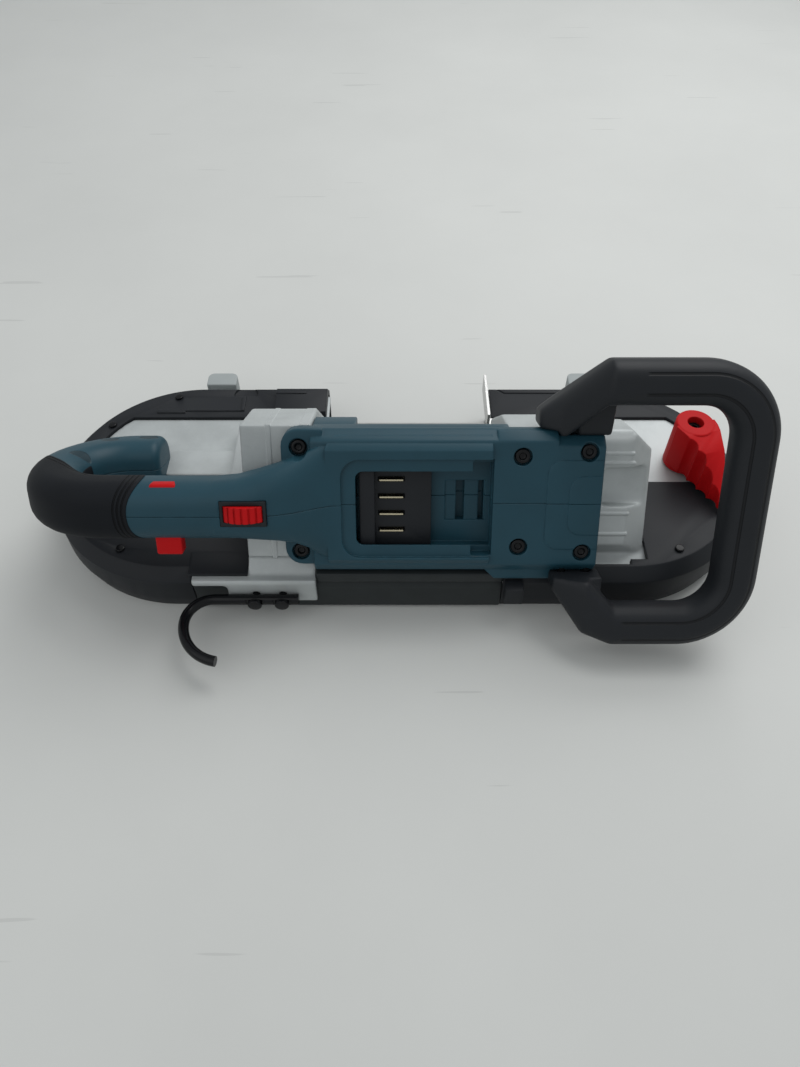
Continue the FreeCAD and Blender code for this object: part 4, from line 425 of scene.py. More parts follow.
class Finish:
    """One material: its nodes, its common fields and its shader."""

    def __init__(self, name):
        self.material = bpy.data.materials.new(name)
        self.material.use_nodes = True
        self.tree = self.material.node_tree
        self.tree.nodes.clear()
        self.place = self.node("ShaderNodeTexCoord", output="Object")
        self.normal = None

    def node(self, kind, settings=None, inputs=None, output=0):
        node = self.tree.nodes.new(kind)
        for key, value in (settings or {}).items():
            setattr(node, key, value)
        for key, value in (inputs or {}).items():
            self.feed(node.inputs[key], value)
        return Field(self, node.outputs[output])

    def feed(self, socket, value):
        if isinstance(value, Field):
            self.tree.links.new(value.socket, socket)
        else:
            socket.default_value = value

    def axes(self):
        """The object's x, y and z as three fields."""
        split = self.node("ShaderNodeSeparateXYZ", inputs={"Vector": self.place}).socket.node
        return [Field(self, output) for output in split.outputs]

    def tool_axes(self):
        """The tool's own x, s and u as three fields."""
        x, y, z = self.axes()
        back = y - TOOL_ORIGIN.y
        up = z - TOOL_ORIGIN.z
        cosine = math.cos(TWIST)
        sine = math.sin(TWIST)
        return x, back * cosine + up * sine, up * cosine - back * sine

    def noise(self, scale, detail=3.0, roughness=0.5, stretch=None):
        vector = self.place
        if stretch:
            vector = self.node("ShaderNodeMapping", inputs={"Vector": self.place, "Scale": stretch})
        return self.node("ShaderNodeTexNoise",
                         inputs={"Vector": vector, "Scale": scale, "Detail": detail, "Roughness": roughness})

    def cells(self, scale):
        return self.node("ShaderNodeTexVoronoi", inputs={"Vector": self.place, "Scale": scale})

    def mix(self, factor, first, second):
        return self.node("ShaderNodeMix", {"data_type": "RGBA"}, {0: factor, 6: first, 7: second}, output=2)

    def edges(self, radius):
        """Round the shading over edges, and give 1 on an edge and 0 away from one."""
        self.normal = self.node("ShaderNodeBevel", {"samples": 4}, {"Radius": radius})
        plain = self.node("ShaderNodeNewGeometry", output="Normal")
        along = self.node("ShaderNodeVectorMath", {"operation": "DOT_PRODUCT"},
                          {0: self.normal, 1: plain}, output="Value")
        return (1 - along).step(0.0, 0.12)

    def bump(self, height, distance, strength=1.0):
        inputs = {"Height": height, "Distance": distance, "Strength": strength}
        if self.normal:
            inputs["Normal"] = self.normal
        self.normal = self.node("ShaderNodeBump", inputs=inputs)

    def shade(self, base, roughness, metallic=0.0, shine=0.5):
        inputs = {"Base Color": base, "Roughness": roughness, "Metallic": metallic,
                  "Specular IOR Level": shine}
        if self.normal:
            inputs["Normal"] = self.normal
        shader = self.node("ShaderNodeBsdfPrincipled", inputs=inputs)
        output = self.tree.nodes.new("ShaderNodeOutputMaterial")
        self.tree.links.new(shader.socket, output.inputs["Surface"])
        return self.material


def strongest(fields):
    """At each place the greatest of several fields."""
    return functools.reduce(Field.most, fields)


def shaded(base, factor):
    """A colour made lighter or darker, with its alpha."""
    return tuple(min(channel * factor, 1.0) for channel in base[:3]) + (1.0,)


def moulded(name, base, rough, grain=2600.0, grain_depth=0.05, edge_wear_and_highlight=0.5, shine=0.25, extra=None):
    """Moulded plastic: fine spark-eroded grain, faint mottling, paler edges that are partly wear and partly
    painted highlight, and any extra lines darkened with painted shade.
    """
    finish = Finish(name)
    edge = finish.edges(sizes().edge_round)
    cloud = finish.noise(38, detail=4)
    fine = finish.noise(grain, detail=2)
    patch = finish.noise(60, detail=2).step(0.5, 0.7)
    scuff = finish.noise(420, detail=5, roughness=0.7).step(0.62, 0.75) * patch
    body = finish.mix(cloud, shaded(base, 0.86), shaded(base, 1.16))
    # Paler edges, partly wear and partly painted highlight
    body = finish.mix(edge * edge_wear_and_highlight * finish.noise(150).step(0.3, 0.7), body, shaded(base, 2.1))
    body = finish.mix(scuff * 0.12, body, shaded(base, 2.2))
    if extra:
        groove = extra(finish)
        # The lines are darkened with painted shade, as shade in sunk grooves
        body = finish.mix(groove * 0.75, body, shaded(base, 0.25))
        finish.bump(1 - groove, 0.8 * MM)
    finish.bump(fine, grain_depth * MM, 0.6)
    roughness = rough + (cloud - 0.5) * 0.10 - edge * 0.06 + scuff * 0.08
    return finish.shade(body, roughness, shine=shine)


def castings(name, base, rough=0.50, metallic=0.30):
    """Silver paint over a sand casting: fine orange peel, flakes with painted sparkle, and paler edges that
    are partly rubbed wear and partly painted highlight.
    """
    finish = Finish(name)
    edge = finish.edges(sizes().edge_round)
    peel = finish.noise(520)
    flake_and_glint = finish.cells(2400)
    stain = finish.noise(22, detail=5, roughness=0.6)
    body = finish.mix(stain.step(0.35, 0.75), shaded(base, 1.06), shaded(base, 0.84))
    # Painted sparkle: some flakes are painted brighter as glints
    body = finish.mix(flake_and_glint.step(0.35, 0.05) * 0.35, body, shaded(base, 1.45))
    # Paler edges, partly rubbed wear and partly painted highlight
    body = finish.mix(edge * 0.6, body, shaded(base, 1.5))
    finish.bump(peel, 0.10 * MM, 0.5)
    finish.bump(flake_and_glint, 0.03 * MM, 0.5)
    return finish.shade(body, rough + (stain - 0.5) * 0.16 - edge * 0.08, metallic)


def metal(name, base, rough, stretch=None):
    """Turned or ground metal, with drawn marks along one way when stretched, and paler edges that are partly
    wear and partly painted highlight.
    """
    finish = Finish(name)
    edge = finish.edges(0.4 * MM)
    marks = finish.noise(700, roughness=0.6, stretch=stretch)
    film = finish.noise(45, detail=4)
    body = finish.mix(film, shaded(base, 0.82), shaded(base, 1.12))
    # Paler edges, partly wear and partly painted highlight
    body = finish.mix(edge * 0.5, body, shaded(base, 1.6))
    finish.bump(marks, 0.02 * MM, 0.5)
    return finish.shade(body, rough + (marks - 0.5) * 0.16 + (film - 0.5) * 0.10, metallic=1.0)


def painted(name, base, rough, shine=0.22):
    """Gloss black paint or oxide on steel, rubbed to metal in a few specks."""
    finish = Finish(name)
    edge = finish.edges(0.6 * MM)
    film = finish.noise(90, detail=4)
    speck = finish.noise(900, roughness=0.7).step(0.66, 0.74)
    body = finish.mix(film, shaded(base, 0.8), shaded(base, 1.3))
    bare = edge * finish.noise(260).step(0.5, 0.7) * 0.5 + speck * 0.06
    body = finish.mix(bare, body, shaded(colours().rubbed, 1))
    finish.bump(finish.noise(420, detail=2), 0.03 * MM, 0.5)
    return finish.shade(body, rough + (film - 0.5) * 0.10, shine=shine)


def make_finishes():
    """Every finish by its slot, and the two that carry lines of their own."""
    c = colours()
    return {
        "teal_plastic": moulded("teal_plastic", c.teal, 0.44, shine=0.28, extra=leg_slots),
        "black_plastic": moulded("black_plastic", c.black, 0.50, grain=1900.0, edge_wear_and_highlight=0.35),
        "grey_plastic": moulded("grey_plastic", c.grey, 0.5),
        "red_plastic": moulded("red_plastic", c.red, 0.45, edge_wear_and_highlight=0.15, shine=0.10),
        "black_rubber": moulded("black_rubber", c.rubber, 0.62, grain=1400.0, grain_depth=0.12, edge_wear_and_highlight=0.2),
        "green_board": moulded("green_board", c.board, 0.35, grain=900.0),
        "dark_sheet": painted("dark_sheet", c.sheet, 0.38),
        "black_steel": painted("black_steel", c.black_steel, 0.18),
        "cast_aluminium": castings("cast_aluminium", c.cast),
        "wheel_aluminium": metal("wheel_aluminium", c.steel, 0.34),
        "bright_steel": metal("bright_steel", c.steel, 0.28, (1.0, 12.0, 12.0)),
        "brass_contacts": metal("brass_contacts", c.brass, 0.26, (1.0, 8.0, 8.0)),
        "handle_grip": moulded("handle_grip", c.rubber, 0.6, grain=1300.0, grain_depth=0.14, edge_wear_and_highlight=0.15,
                               shine=0.12, extra=grip_grooves),
        "front_handle": moulded("front_handle", c.black, 0.5, grain=1700.0, edge_wear_and_highlight=0.2, extra=inlay_line),
    }


# Housing, in millimetres: the body and its right end, the slopes of their edges, the level plane below them,
# and how near an edge has to lie to count as at a place
BODY_NEAR, BODY_FAR = -69, 25
BODY_LEFT, BODY_RIGHT = -55.7, 68.7
BODY_FLOOR, BODY_TOP = 128.5, 172.4
PLATE_LEFT, PLATE_RIGHT = 66, 127
PLATE_FAR, PLATE_FLOOR = 21.5, 158
STEP_LEFT, STEP_RIGHT = 60, 98
SIDE_CUT, FAR_DROP = 6, 9
FLOOR_SLOPE_S, FLOOR_SLOPE = 5, (0, 21.5, -20)
LEVEL_U = 32
AT_WITHIN = 0.02

# The stepped panels on the right end: left edge, near edge and far edge of each
PANELS = ((92, -52, 7), (106, -42, -3))
PANEL_RIGHT, PANEL_FLOOR, PANEL_ROUND = 126.2, 170, 9

# The rim round the battery bay, and the hollows in it: corners, the radius at the left end and its segments
RIM_LOW, RIM_HIGH = (-46, -66, 160), (57, 22, 176.4)
RIM_NEAR, RIM_FAR, RIM_ROUND = -64, 20, 2.2
BAY = {"deep": ((-28, -52, 158), (58, 4, 173), 5, 5), "mouth": ((-28, -48.5, 172), (58, 0.5, 190), 5, 5),
       "end": ((45, -56, 165), (58.5, 8, 190), 2, 4), "lip": ((-37, -56.5, 174.2), (58.5, 8.5, 190), 12, 8)}
BAY_CATCH = {"shallow": ((29, -37, 156.8), (55, -10, 160)), "left_slot": ((36, -37, 150), (41.5, -10, 160)),
             "right_slot": ((50.5, -37, 150), (54, -10, 160))}

# The plate with the two ears, then two small blocks with one edge cut off: corners, a point on the cut and
# the way it faces
EARS_LOW, EARS_HIGH, EAR_ROUND = (-74, -64, 158), (-48, 26, 169), 11
FAR_TAB = ((BODY_LEFT, 3, 130), (-28, BODY_FAR, 152), (-28, BODY_FAR, 145), (1, 1.6, 0))
NEAR_LIP = ((54, -76, 157), (100, -64, 165.5), (54, -68, 160), (-1, -1, 0))

# Wells over the screws, on the right end and on the ears, and the window of the speed dial
PLATE_SCREWS = ((76.0, 9.3), (117.0, 12.0), (76.0, -50.6), (117.0, -54.4))
EAR_SCREWS = ((-63.0, 14.3), (-64.0, -54.7))
PLATE_WELL_U, EAR_WELL_U, WELL_R, WELL_DEEP = 178.4, 175, 5.9, 20
DIAL_WINDOW = ((-109.2, -28.7, 176), (-80.8, -12.3, 200))

# The rear handle's section and bend, where its grip starts and ends, the arc and chord that edge the grip,
# and the reach of the cuts that shape it
HANDLE = {
    "width": 37.0, "depth": 35.0, "round": 13.8, "start": -110.0, "low_end": -168.6,
    "bend_x": -185.0, "bend_r": 42.0, "grip_start": -172.0, "grip_lap": -156.0, "grip_turn": 108.0,
    "arc_x": -137.5, "arc_r": 28.0, "chord_x": -191.5, "chord_u": 168.5, "chord_turn": math.radians(41.3),
}
GRIP_FRONT_DEEP, GRIP_UNDER, GRIP_UNDER_LAP = 80, ((-60, 150), (20, 166)), 5
GRIP_FAR_S, CHORD_LONG, CHORD_HIGH = (-12, 10), 90, 80
INSIDE_LAP, INSIDE_LOW, INSIDE_DROP = 3, 140, 2.5
TRIGGER_WAY = ((-184, -34, 148), (-160, -8, 178))

# The neck from the handle to the bay: its lap in the handle, then at each x its near and far edges and its
# lower and upper faces
NECK_LAP = 4
NECK = ((-100, -40.3, -1.5, 159.0, 194.4), (-88, -41.6, 1.8, 158.4, 194.0), (-76, -43.0, 5.4, 158.0, 192.0),
        (-66, -45.5, 9.0, 158.0, 188.4), (-58, -50.0, 12.6, 158.0, 184.0), (-50, -57.0, 16.4, 158.0, 179.6),
        (-43, -61.5, 18.6, 158.0, 176.6), (-34, -62.0, 19.0, 158.0, 175.6))


def upright(edge):
    """Whether an edge runs up, give or take a slope."""
    way = edge.verts[0].co - edge.verts[1].co
    return abs(way.z) > 0.9 * way.length


def at(edge, axis, spot):
    """Whether an edge lies at one place in millimetres along an axis."""
    return all(abs(vertex.co[axis] - spot * MM) < AT_WITHIN * MM for vertex in edge.verts)


def round_left(obj, x, radius, segments):
    """Round a block's upright corners at its left end; the radius is in metres."""
    round_edges(obj, lambda edge: upright(edge) and at(edge, 0, x), radius, segments)


def side_chamfers(obj, near, far, top, far_drop=SIDE_CUT):
    """Slope both long upper edges of a block of the body."""
    trim(obj, (0, near, top - SIDE_CUT), (0, -1, 1))
    trim(obj, (0, far, top - far_drop), (0, far_drop, SIDE_CUT))


def body_block():
    """The middle of the body, between the two castings."""
    body = block("body", (BODY_LEFT, BODY_NEAR, BODY_FLOOR), (BODY_RIGHT, BODY_FAR, BODY_TOP))
    side_chamfers(body, BODY_NEAR, BODY_FAR, BODY_TOP, FAR_DROP)
    trim(body, (0, FLOOR_SLOPE_S, BODY_FLOOR), FLOOR_SLOPE)
    trim(body, (0, 0, LEVEL_U), (0, -math.sin(TWIST), -math.cos(TWIST)))
    soften(body, sizes().edge_round)
    return body


def plate_block():
    """The right end of the body, over the idler's casting."""
    plate = block("plate", (PLATE_LEFT, BODY_NEAR, PLATE_FLOOR), (PLATE_RIGHT, PLATE_FAR, BODY_TOP))
    side_chamfers(plate, BODY_NEAR, PLATE_FAR, BODY_TOP)
    soften(plate, sizes().edge_round)
    weld(plate, cut_block("step", (STEP_LEFT, 0, PLATE_FLOOR), (STEP_RIGHT, BODY_FAR, BODY_TOP),
                          (0, BODY_FAR, BODY_TOP - SIDE_CUT), (0, 1, 1)))
    return plate


def cut_block(name, low, high, through, normal):
    """A block with one edge cut off by a plane and the others rounded."""
    piece = block(name, low, high)
    trim(piece, through, normal)
    soften(piece, sizes().edge_round)
    return piece


def plate_panels():
    """Two shallow steps on the right end, one on the other, with round left corners."""
    panels = []
    rise = sizes().panel_step / MM
    for n, (left, near, far) in enumerate(PANELS):
        top = BODY_TOP + rise * (n + 1)
        panel = block("panel", (left, near, PANEL_FLOOR), (PANEL_RIGHT, far, top))
        round_left(panel, left, PANEL_ROUND * MM, 8)
        round_edges(panel, lambda edge: at(edge, 2, top), rise * 0.6 * MM, 2)
        panels.append(panel)
    return panels


def bay_rim():
    """The raised rim round the battery bay, open at its right end."""
    rim = block("rim", RIM_LOW, RIM_HIGH)
    right, _, top = RIM_HIGH
    side_chamfers(rim, RIM_NEAR, RIM_FAR, top)
    round_left(rim, RIM_LOW[0], sizes().bay_round, 8)
    round_edges(rim, lambda edge: at(edge, 2, top) and not at(edge, 0, right), RIM_ROUND * MM, 4)
    return rim


def bay_hollows():
    """The bay, its mouth between the rails, its wider end, its lip, and the catch's square and slots."""
    hollows = []
    for name, (low, high, radius, segments) in BAY.items():
        hollow = block(name, low, high)
        round_left(hollow, low[0], radius * MM, segments)
        hollows.append(hollow)
    return hollows + [block(name, *corners) for name, corners in BAY_CATCH.items()]


def ear_plate():
    """The plate left of the bay whose two ears carry screws."""
    ears = block("ears", EARS_LOW, EARS_HIGH)
    round_left(ears, EARS_LOW[0], EAR_ROUND * MM, 6)
    soften(ears, sizes().edge_round)
    return ears


def screw_wells():
    """A round well over each housing screw."""
    spots = [(x, s, PLATE_WELL_U) for x, s in PLATE_SCREWS] + [(x, s, EAR_WELL_U) for x, s in EAR_SCREWS]
    return [drum("well", spot, WELL_R, WELL_DEEP) for spot in spots]


def section(name, x, s, u, width, height, radius):
    """A rounded rectangle across the x axis, selected in edit mode and ready to sweep."""
    clear_selection()
    quarter = math.pi / 2
    bpy.ops.mesh.primitive_plane_add(size=1, location=point(x, s, u), rotation=(quarter, 0, quarter))
    bpy.context.object.scale = (width * MM, height * MM, 1)
    plate = settle(name)
    pick(plate, "verts", everything)
    bpy.ops.mesh.bevel(offset=radius * MM, segments=7, affect="VERTICES")
    pick(plate, "faces", everything)
    return plate


def push(x):
    """Extrude the selected end along the tool by a step in millimetres."""
    bpy.ops.mesh.extrude_region_move(TRANSFORM_OT_translate={"value": point(x, 0, 0)})


def spin(angle, centre, steps):
    """Sweep the selected end round a line across the tool, by degrees."""
    bpy.ops.mesh.spin(steps=steps, angle=math.radians(angle), center=point(*centre), axis=(0, 1, 0))


def handle_sweep():
    """The D of the rear handle as one sweep, from its free end round the bend to the neck."""
    h = HANDLE
    low_u = HANDLE_U - 2 * h["bend_r"]
    sweep = section("sweep", h["low_end"], SEAM_S, low_u, h["width"], h["depth"], h["round"])
    push(h["bend_x"] - h["low_end"])
    spin(-180, (h["bend_x"], SEAM_S, HANDLE_U - h["bend_r"]), 36)
    push(h["start"] - h["bend_x"])
    leave_edit()
    outward(sweep)
    round_edges(sweep, lambda edge: at(edge, 0, h["low_end"]), sizes().leg_round, 6)
    return lean(sweep)


def neck_sweep():
    """The neck that joins the handle to the body, widened from station to station."""
    h = HANDLE
    x = h["start"] - NECK_LAP
    neck = section("neck", x, SEAM_S, HANDLE_U, h["width"], h["depth"], h["round"])
    middle, span = (SEAM_S, HANDLE_U), (h["width"], h["depth"])
    for next_x, near, far, low, high in NECK:
        push(next_x - x)
        next_middle, next_span = ((near + far) / 2, (low + high) / 2), (far - near, high - low)
        bpy.ops.transform.resize(value=(1, next_span[0] / span[0], next_span[1] / span[1]),
                                 center_override=point(next_x, *middle))
        bpy.ops.transform.translate(value=point(0, next_middle[0] - middle[0], next_middle[1] - middle[1]))
        x, middle, span = next_x, next_middle, next_span
    leave_edit()
    outward(neck)
    return neck


class SawHousing(bpy.types.Operator):
    """Model the clamshell housing and part it at its seam"""
    bl_idname = "saw.housing"
    bl_label = "Housing halves"

    def execute(self, context):
        skin = body_block()
        weld(skin, plate_block(), cut_block("tab", *FAR_TAB), cut_block("lip", *NEAR_LIP), ear_plate(),
             bay_rim(), neck_sweep(), handle_sweep(), *plate_panels())
        carve(skin, *bay_hollows(), block("window", *DIAL_WINDOW), *screw_wells())
        far = copy_of(skin, "housing_far_half.skin")
        gap = sizes().seam_gap / MM / 2
        across = Vector((0, math.cos(HANDLE_LEAN), math.sin(HANDLE_LEAN)))
        trim(skin, (0, SEAM_S - gap, HANDLE_U), across)
        trim(far, (0, SEAM_S + gap, HANDLE_U), -across)
        skin.name = "housing_near_half.skin"
        for obj, node in ((skin, "housing_near_half"), (far, "housing_far_half")):
            lay(obj)
            present(obj, "frame", FINISHES["teal_plastic"], "teal_plastic", node)
        return {"FINISHED"}


class SawHandleGrip(bpy.types.Operator):
    """Model the rubber grip over the back of the rear handle"""
    bl_idname = "saw.handle_grip"
    bl_label = "Rear handle grip"

    def execute(self, context):
        h = HANDLE
        stand = sizes().grip_stand / MM
        grip = section("handle_grip.skin", h["grip_lap"], SEAM_S, HANDLE_U, h["width"] + 2 * stand,
                       h["depth"] + 2 * stand, h["round"] + stand)
        push(h["bend_x"] - h["grip_lap"])
        spin(h["grip_turn"], (h["bend_x"], SEAM_S, HANDLE_U - h["bend_r"]), 30)
        leave_edit()
        outward(grip)
        (under_near, under_low), (under_far, under_high) = GRIP_UNDER
        carve(grip, drum("front", (h["arc_x"], SEAM_S, HANDLE_U), h["arc_r"], GRIP_FRONT_DEEP, sides=128),
              block("under", (h["grip_start"], under_near, under_low),
                    (h["grip_lap"] + GRIP_UNDER_LAP, under_far, under_high)))
        near, far = GRIP_FAR_S
        x, u = h["chord_x"], h["chord_u"]
        chord = block("chord", (x - CHORD_LONG, near, u - CHORD_HIGH), (x, far, u))
        turn(chord, -h["chord_turn"], point(x, 0, u), 1)
        inside = block("inside", (x - INSIDE_LAP, near, INSIDE_LOW), (h["grip_start"], far, u - INSIDE_DROP))
        carve(grip, chord, inside, block("trigger_way", *TRIGGER_WAY))
        lean(grip)
        lay(grip)
        present(grip, "frame", FINISHES["handle_grip"], "black_rubber", "handle_grip")
        return {"FINISHED"}


# Front handle, in millimetres: the web in the corner of its far foot, and the line about which it is turned
WEB = ((110, 22.4, 157), (131, 50, 172))
WEB_LINE, WEB_TURN = (0, 36, 165), math.radians(18)


class SawFrontHandle(bpy.types.Operator):
    """Model the looped front handle with its soft inlay"""
    bl_idname = "saw.front_handle"
    bl_label = "Front handle"

    def execute(self, context):
        loop = twin("front_handle.skin", "front_handle", "front_handle_grip")
        weld(loop, lay(turn(block("web", *WEB), WEB_TURN, point(*WEB_LINE))))
        melt(loop, sizes().loop_voxel, 8)
        present(loop, "frame", FINISHES["front_handle"], "black_plastic",
                "front_handle", "front_handle_grip")
        return {"FINISHED"}


# Castings, in millimetres: the right one's nose with its sloped edges (s, u, degrees) and beads (s, right
# end), the hole for the jack shaft in the left one, and the gear case's bands (left, right, growth)
NOSE = (127.5, 175)
NOSE_SLOPES = ((16.5, 147.5, -36), (-61.5, 147, 44))
SLOPE_REACH, SLOPE_HIGH = 6.5, 30
BEADS = ((5.2, 152), (-1.2, 153), (-35.8, 152), (-50.2, 152))
BEAD_LEFT, BEAD_U, BEAD_R = 124, 149.4, 1.3
JACK_WAY_R, JACK_WAY_Z, JACK_WAY_DEEP = 13.2, 38, 24
CASE_BANDS = ((-84.5, -81.5, 1.012), (-63, -57, 1.01))


def bead(s, right):
    """A round bead along the tool with round ends, in the lying pose."""
    middle = ((BEAD_LEFT + right) / 2, s, BEAD_U)
    rod = drum("bead", middle, BEAD_R, right - BEAD_LEFT, (0, math.pi / 2, 0), 24)
    soften(rod, 0.8 * BEAD_R * MM, 4, 60)
    return lay(rod)


def band(node, left, right, growth):
    """A raised band round a casting: a slice of it, made a little larger."""
    ring = twin("band", node)
    trim(ring, (left, 0, 0), (-1, 0, 0))
    trim(ring, (right, 0, 0), (1, 0, 0))
    centre = [(a + b) / 2 for a, b in zip(*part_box(node))]
    pick(ring, "faces", everything)
    bpy.ops.transform.resize(value=(1, growth, growth), center_override=centre)
    leave_edit()
    return ring


def slope(s, u, angle):
    """A cutter that slopes an edge of the nose, in the lying pose."""
    left, right = NOSE
    cutter = block("slope", (left, s - SLOPE_REACH, u), (right, s + SLOPE_REACH, u + SLOPE_HIGH))
    return lay(turn(cutter, math.radians(angle), point(0, s, u)))


class SawCastings(bpy.types.Operator):
    """Round the two wheel castings and the gear case, and rib the nose of the right one"""
    bl_idname = "saw.castings"
    bl_label = "Castings"

    def execute(self, context):
        right = twin("idler_frame.skin", "idler_frame")
        carve(right, *[slope(*edge) for edge in NOSE_SLOPES])
        left = twin("drive_frame.skin", "drive_frame")
        jack = axis_of("jack_shaft") / MM
        carve(left, drum("jack_way", (jack.x, jack.y, JACK_WAY_Z), JACK_WAY_R, JACK_WAY_DEEP))
        case = twin("gear_case.skin", "gear_case")
        for obj in (right, left, case):
            melt(obj, sizes().cast_voxel, 6)
        join(right, *[bead(*ends) for ends in BEADS])
        join(case, *[band("gear_case", *ends) for ends in CASE_BANDS])
        for obj, node in ((right, "idler_frame"), (left, "drive_frame"), (case, "gear_case")):
            present(obj, "frame", FINISHES["cast_aluminium"], "cast_aluminium", node)
        return {"FINISHED"}


# Guards, in millimetres: their top and rounding, the rear one's pocket, slanted cut, strips (near left and
# far right corners, extra height), raised strip and lap, and the front one's line and lug
GUARD_TOP, GUARD_ROUND = 38.0, 0.8
POCKET, POCKET_R, POCKET_DEEP, POCKET_NEAR = (-123.5, 105.0, 40.0), 9.5, 8, 102.5
SLANT = ((-120, 100, 38.02), (-100, 130, 50))
SLANT_LINE, SLANT_TURN = (-100, 112, 0), math.radians(-38)
STRIP_FLOOR = 30
STRIPS = (((-191, 82.6), (-168.7, 86.6), 0), ((-168.8, 84.8), (-124, 86.6), 0),
          ((-125.6, 85), (-122.6, 101), 0.4))
RAISED_STRIP = ((-98, 99, STRIP_FLOOR), (-74, 101.5, 44.6))
LAP = ((-141, -74, 36.06), (-101.4, -55, GUARD_TOP))
LINE_NEAR, LINE_FAR, LINE_DEEP, LINE_HIGH = 105.6, 106.8, 0.9, 45
LINE_X, LINE_TURN = (75, 84, 84.4, 142), math.radians(-40)
LUG = ((70, -84, 18), (82, -74.5, 33))


def guard_line():
    """A fine groove along the front guard that bends away at its left end."""
    end, bend, lap, right = LINE_X
    floor = GUARD_TOP - LINE_DEEP
    straight = block("line", (bend, LINE_NEAR, floor), (right, LINE_FAR, LINE_HIGH))
    slanted = block("line", (end, LINE_NEAR, floor), (lap, LINE_FAR, LINE_HIGH))
    turn(slanted, LINE_TURN, point(bend, (LINE_NEAR + LINE_FAR) / 2, 0), 2)
    return straight, slanted


class SawGuards(bpy.types.Operator):
    """Raise the strips and cut the pockets of the two blade guards"""
    bl_idname = "saw.guards"
    bl_label = "Blade guards"

    def execute(self, context):
        strip_top = GUARD_TOP + sizes().strip_rise / MM
        rear = twin("rear_guard.skin", "rear_guard")
        pocket = drum("pocket", POCKET, POCKET_R, POCKET_DEEP)
        trim(pocket, (0, POCKET_NEAR, 0), (0, -1, 0))
        carve(rear, pocket, turn(block("slant", *SLANT), SLANT_TURN, point(*SLANT_LINE), 2))
        for low, high, extra in STRIPS:
            weld(rear, block("strip", (*low, STRIP_FLOOR), (*high, strip_top + extra)))
        weld(rear, block("strip", *RAISED_STRIP), block("lap", *LAP))
        front = twin("front_guard.skin", "front_guard")
        carve(front, *guard_line())
        weld(front, block("lug", *LUG))
        for obj, node in ((rear, "rear_guard"), (front, "front_guard")):
            soften(obj, GUARD_ROUND * MM, 2, 40)
            present(obj, "frame", FINISHES["black_plastic"], "black_plastic", node)
        return {"FINISHED"}


# Lever, in millimetres about its screw's axis: the fin, the planes that taper it, its flutes (first place
# and step), the hub and the screw's well
FIN = ((0, -14.5, 41), (57, 14.5, 75.6))
FIN_PLANES = (((8, -12.5, 0), (14, -47, 0)), ((12, 13.2, 0), (9, 45, 0)), ((11, 0, 75.6), (5, 0, 15)),
              ((26, 0, 70.6), (27, 0, 29)))
FLUTES, FLUTE_R, FLUTE_Z, FLUTE_HIGH = 4, 5.6, 55, 60
FLUTE_X, FLUTE_Y = (18.5, 9.5), (-12.6, 2.83)
HUB_LOW, HUB_HIGH, HUB_R = 36.3, 76, 13.6
SCREW_WELL_R, SCREW_WELL_Z, SCREW_WELL_DEEP = 5.75, 78, 20
LEVER_TURN = math.radians(-76)


class SawLever(bpy.types.Operator):
    """Model the tension lever: a hub with a sunk screw and a fin with flutes on its left side"""
    bl_idname = "saw.tension_lever"
    bl_label = "Tension lever"

    def execute(self, context):
        fin = block("fin", *FIN)
        for through, normal in FIN_PLANES:
            trim(fin, through, normal)
        for n in range(FLUTES):
            spot = (FLUTE_X[0] + FLUTE_X[1] * n, FLUTE_Y[0] + FLUTE_Y[1] * n, FLUTE_Z)
            carve(fin, drum("flute", spot, FLUTE_R, FLUTE_HIGH, sides=40))
        soften(fin, sizes().lever_round * 0.5, 3, 30)
        middle = (0, 0, (HUB_LOW + HUB_HIGH) / 2)
        hub = drum("tension_lever.skin", middle, HUB_R, HUB_HIGH - HUB_LOW, sides=96)
        soften(hub, sizes().lever_round, 4, 30)
        weld(hub, fin)
        carve(hub, drum("well", (0, 0, SCREW_WELL_Z), SCREW_WELL_R, SCREW_WELL_DEEP, sides=48))
        place(hub, axis_of("lever_screw"), (0, 0, LEVER_TURN))
        present(hub, body_of("tension_lever"), FINISHES["red_plastic"], "red_plastic", "tension_lever")
        return {"FINISHED"}


# Smaller pieces and the rounding of their edges in millimetres
ROUNDED = {
    "spine_cover": 1.6, "frame_spine": 3.2, "rest_feet": 1.2, "lock_off_button": 1.6, "terminal_block": 0.8,
    "trigger": 1.2, "switch_module": 0.8, "housing_screws": 0.9, "guard_screws": 0.6, "hook_screws": 0.7,
    "dial_bezel": 0.7,
}


class SawRounded(bpy.types.Operator):
    """Round the edges of the smaller pieces"""
    bl_idname = "saw.rounded"
    bl_label = "Rounded pieces"

    def execute(self, context):
        for node, radius in ROUNDED.items():
            obj = twin(node + ".skin", node)
            soften(obj, radius * MM, 3, 35)
            # The frame spine, cast aluminium, gets the dark sheet finish as painted shade where it lies in
            # shade under the body
            slot = "dark_sheet" if node == "frame_spine" else SLOTS[node]
            present(obj, body_of(node), FINISHES[slot], slot, node)
        return {"FINISHED"}


class SawFinishes(bpy.types.Operator):
    """Make the finishes and dress every CAD piece in the one of its slot"""
    bl_idname = "saw.finishes"
    bl_label = "Finishes"

    def execute(self, context):
        FINISHES.update(make_finishes())
        for node, obj in frame["nodes"].items():
            for holder in obj.material_slots:
                holder.material = FINISHES[SLOTS[node]]
        return {"FINISHED"}


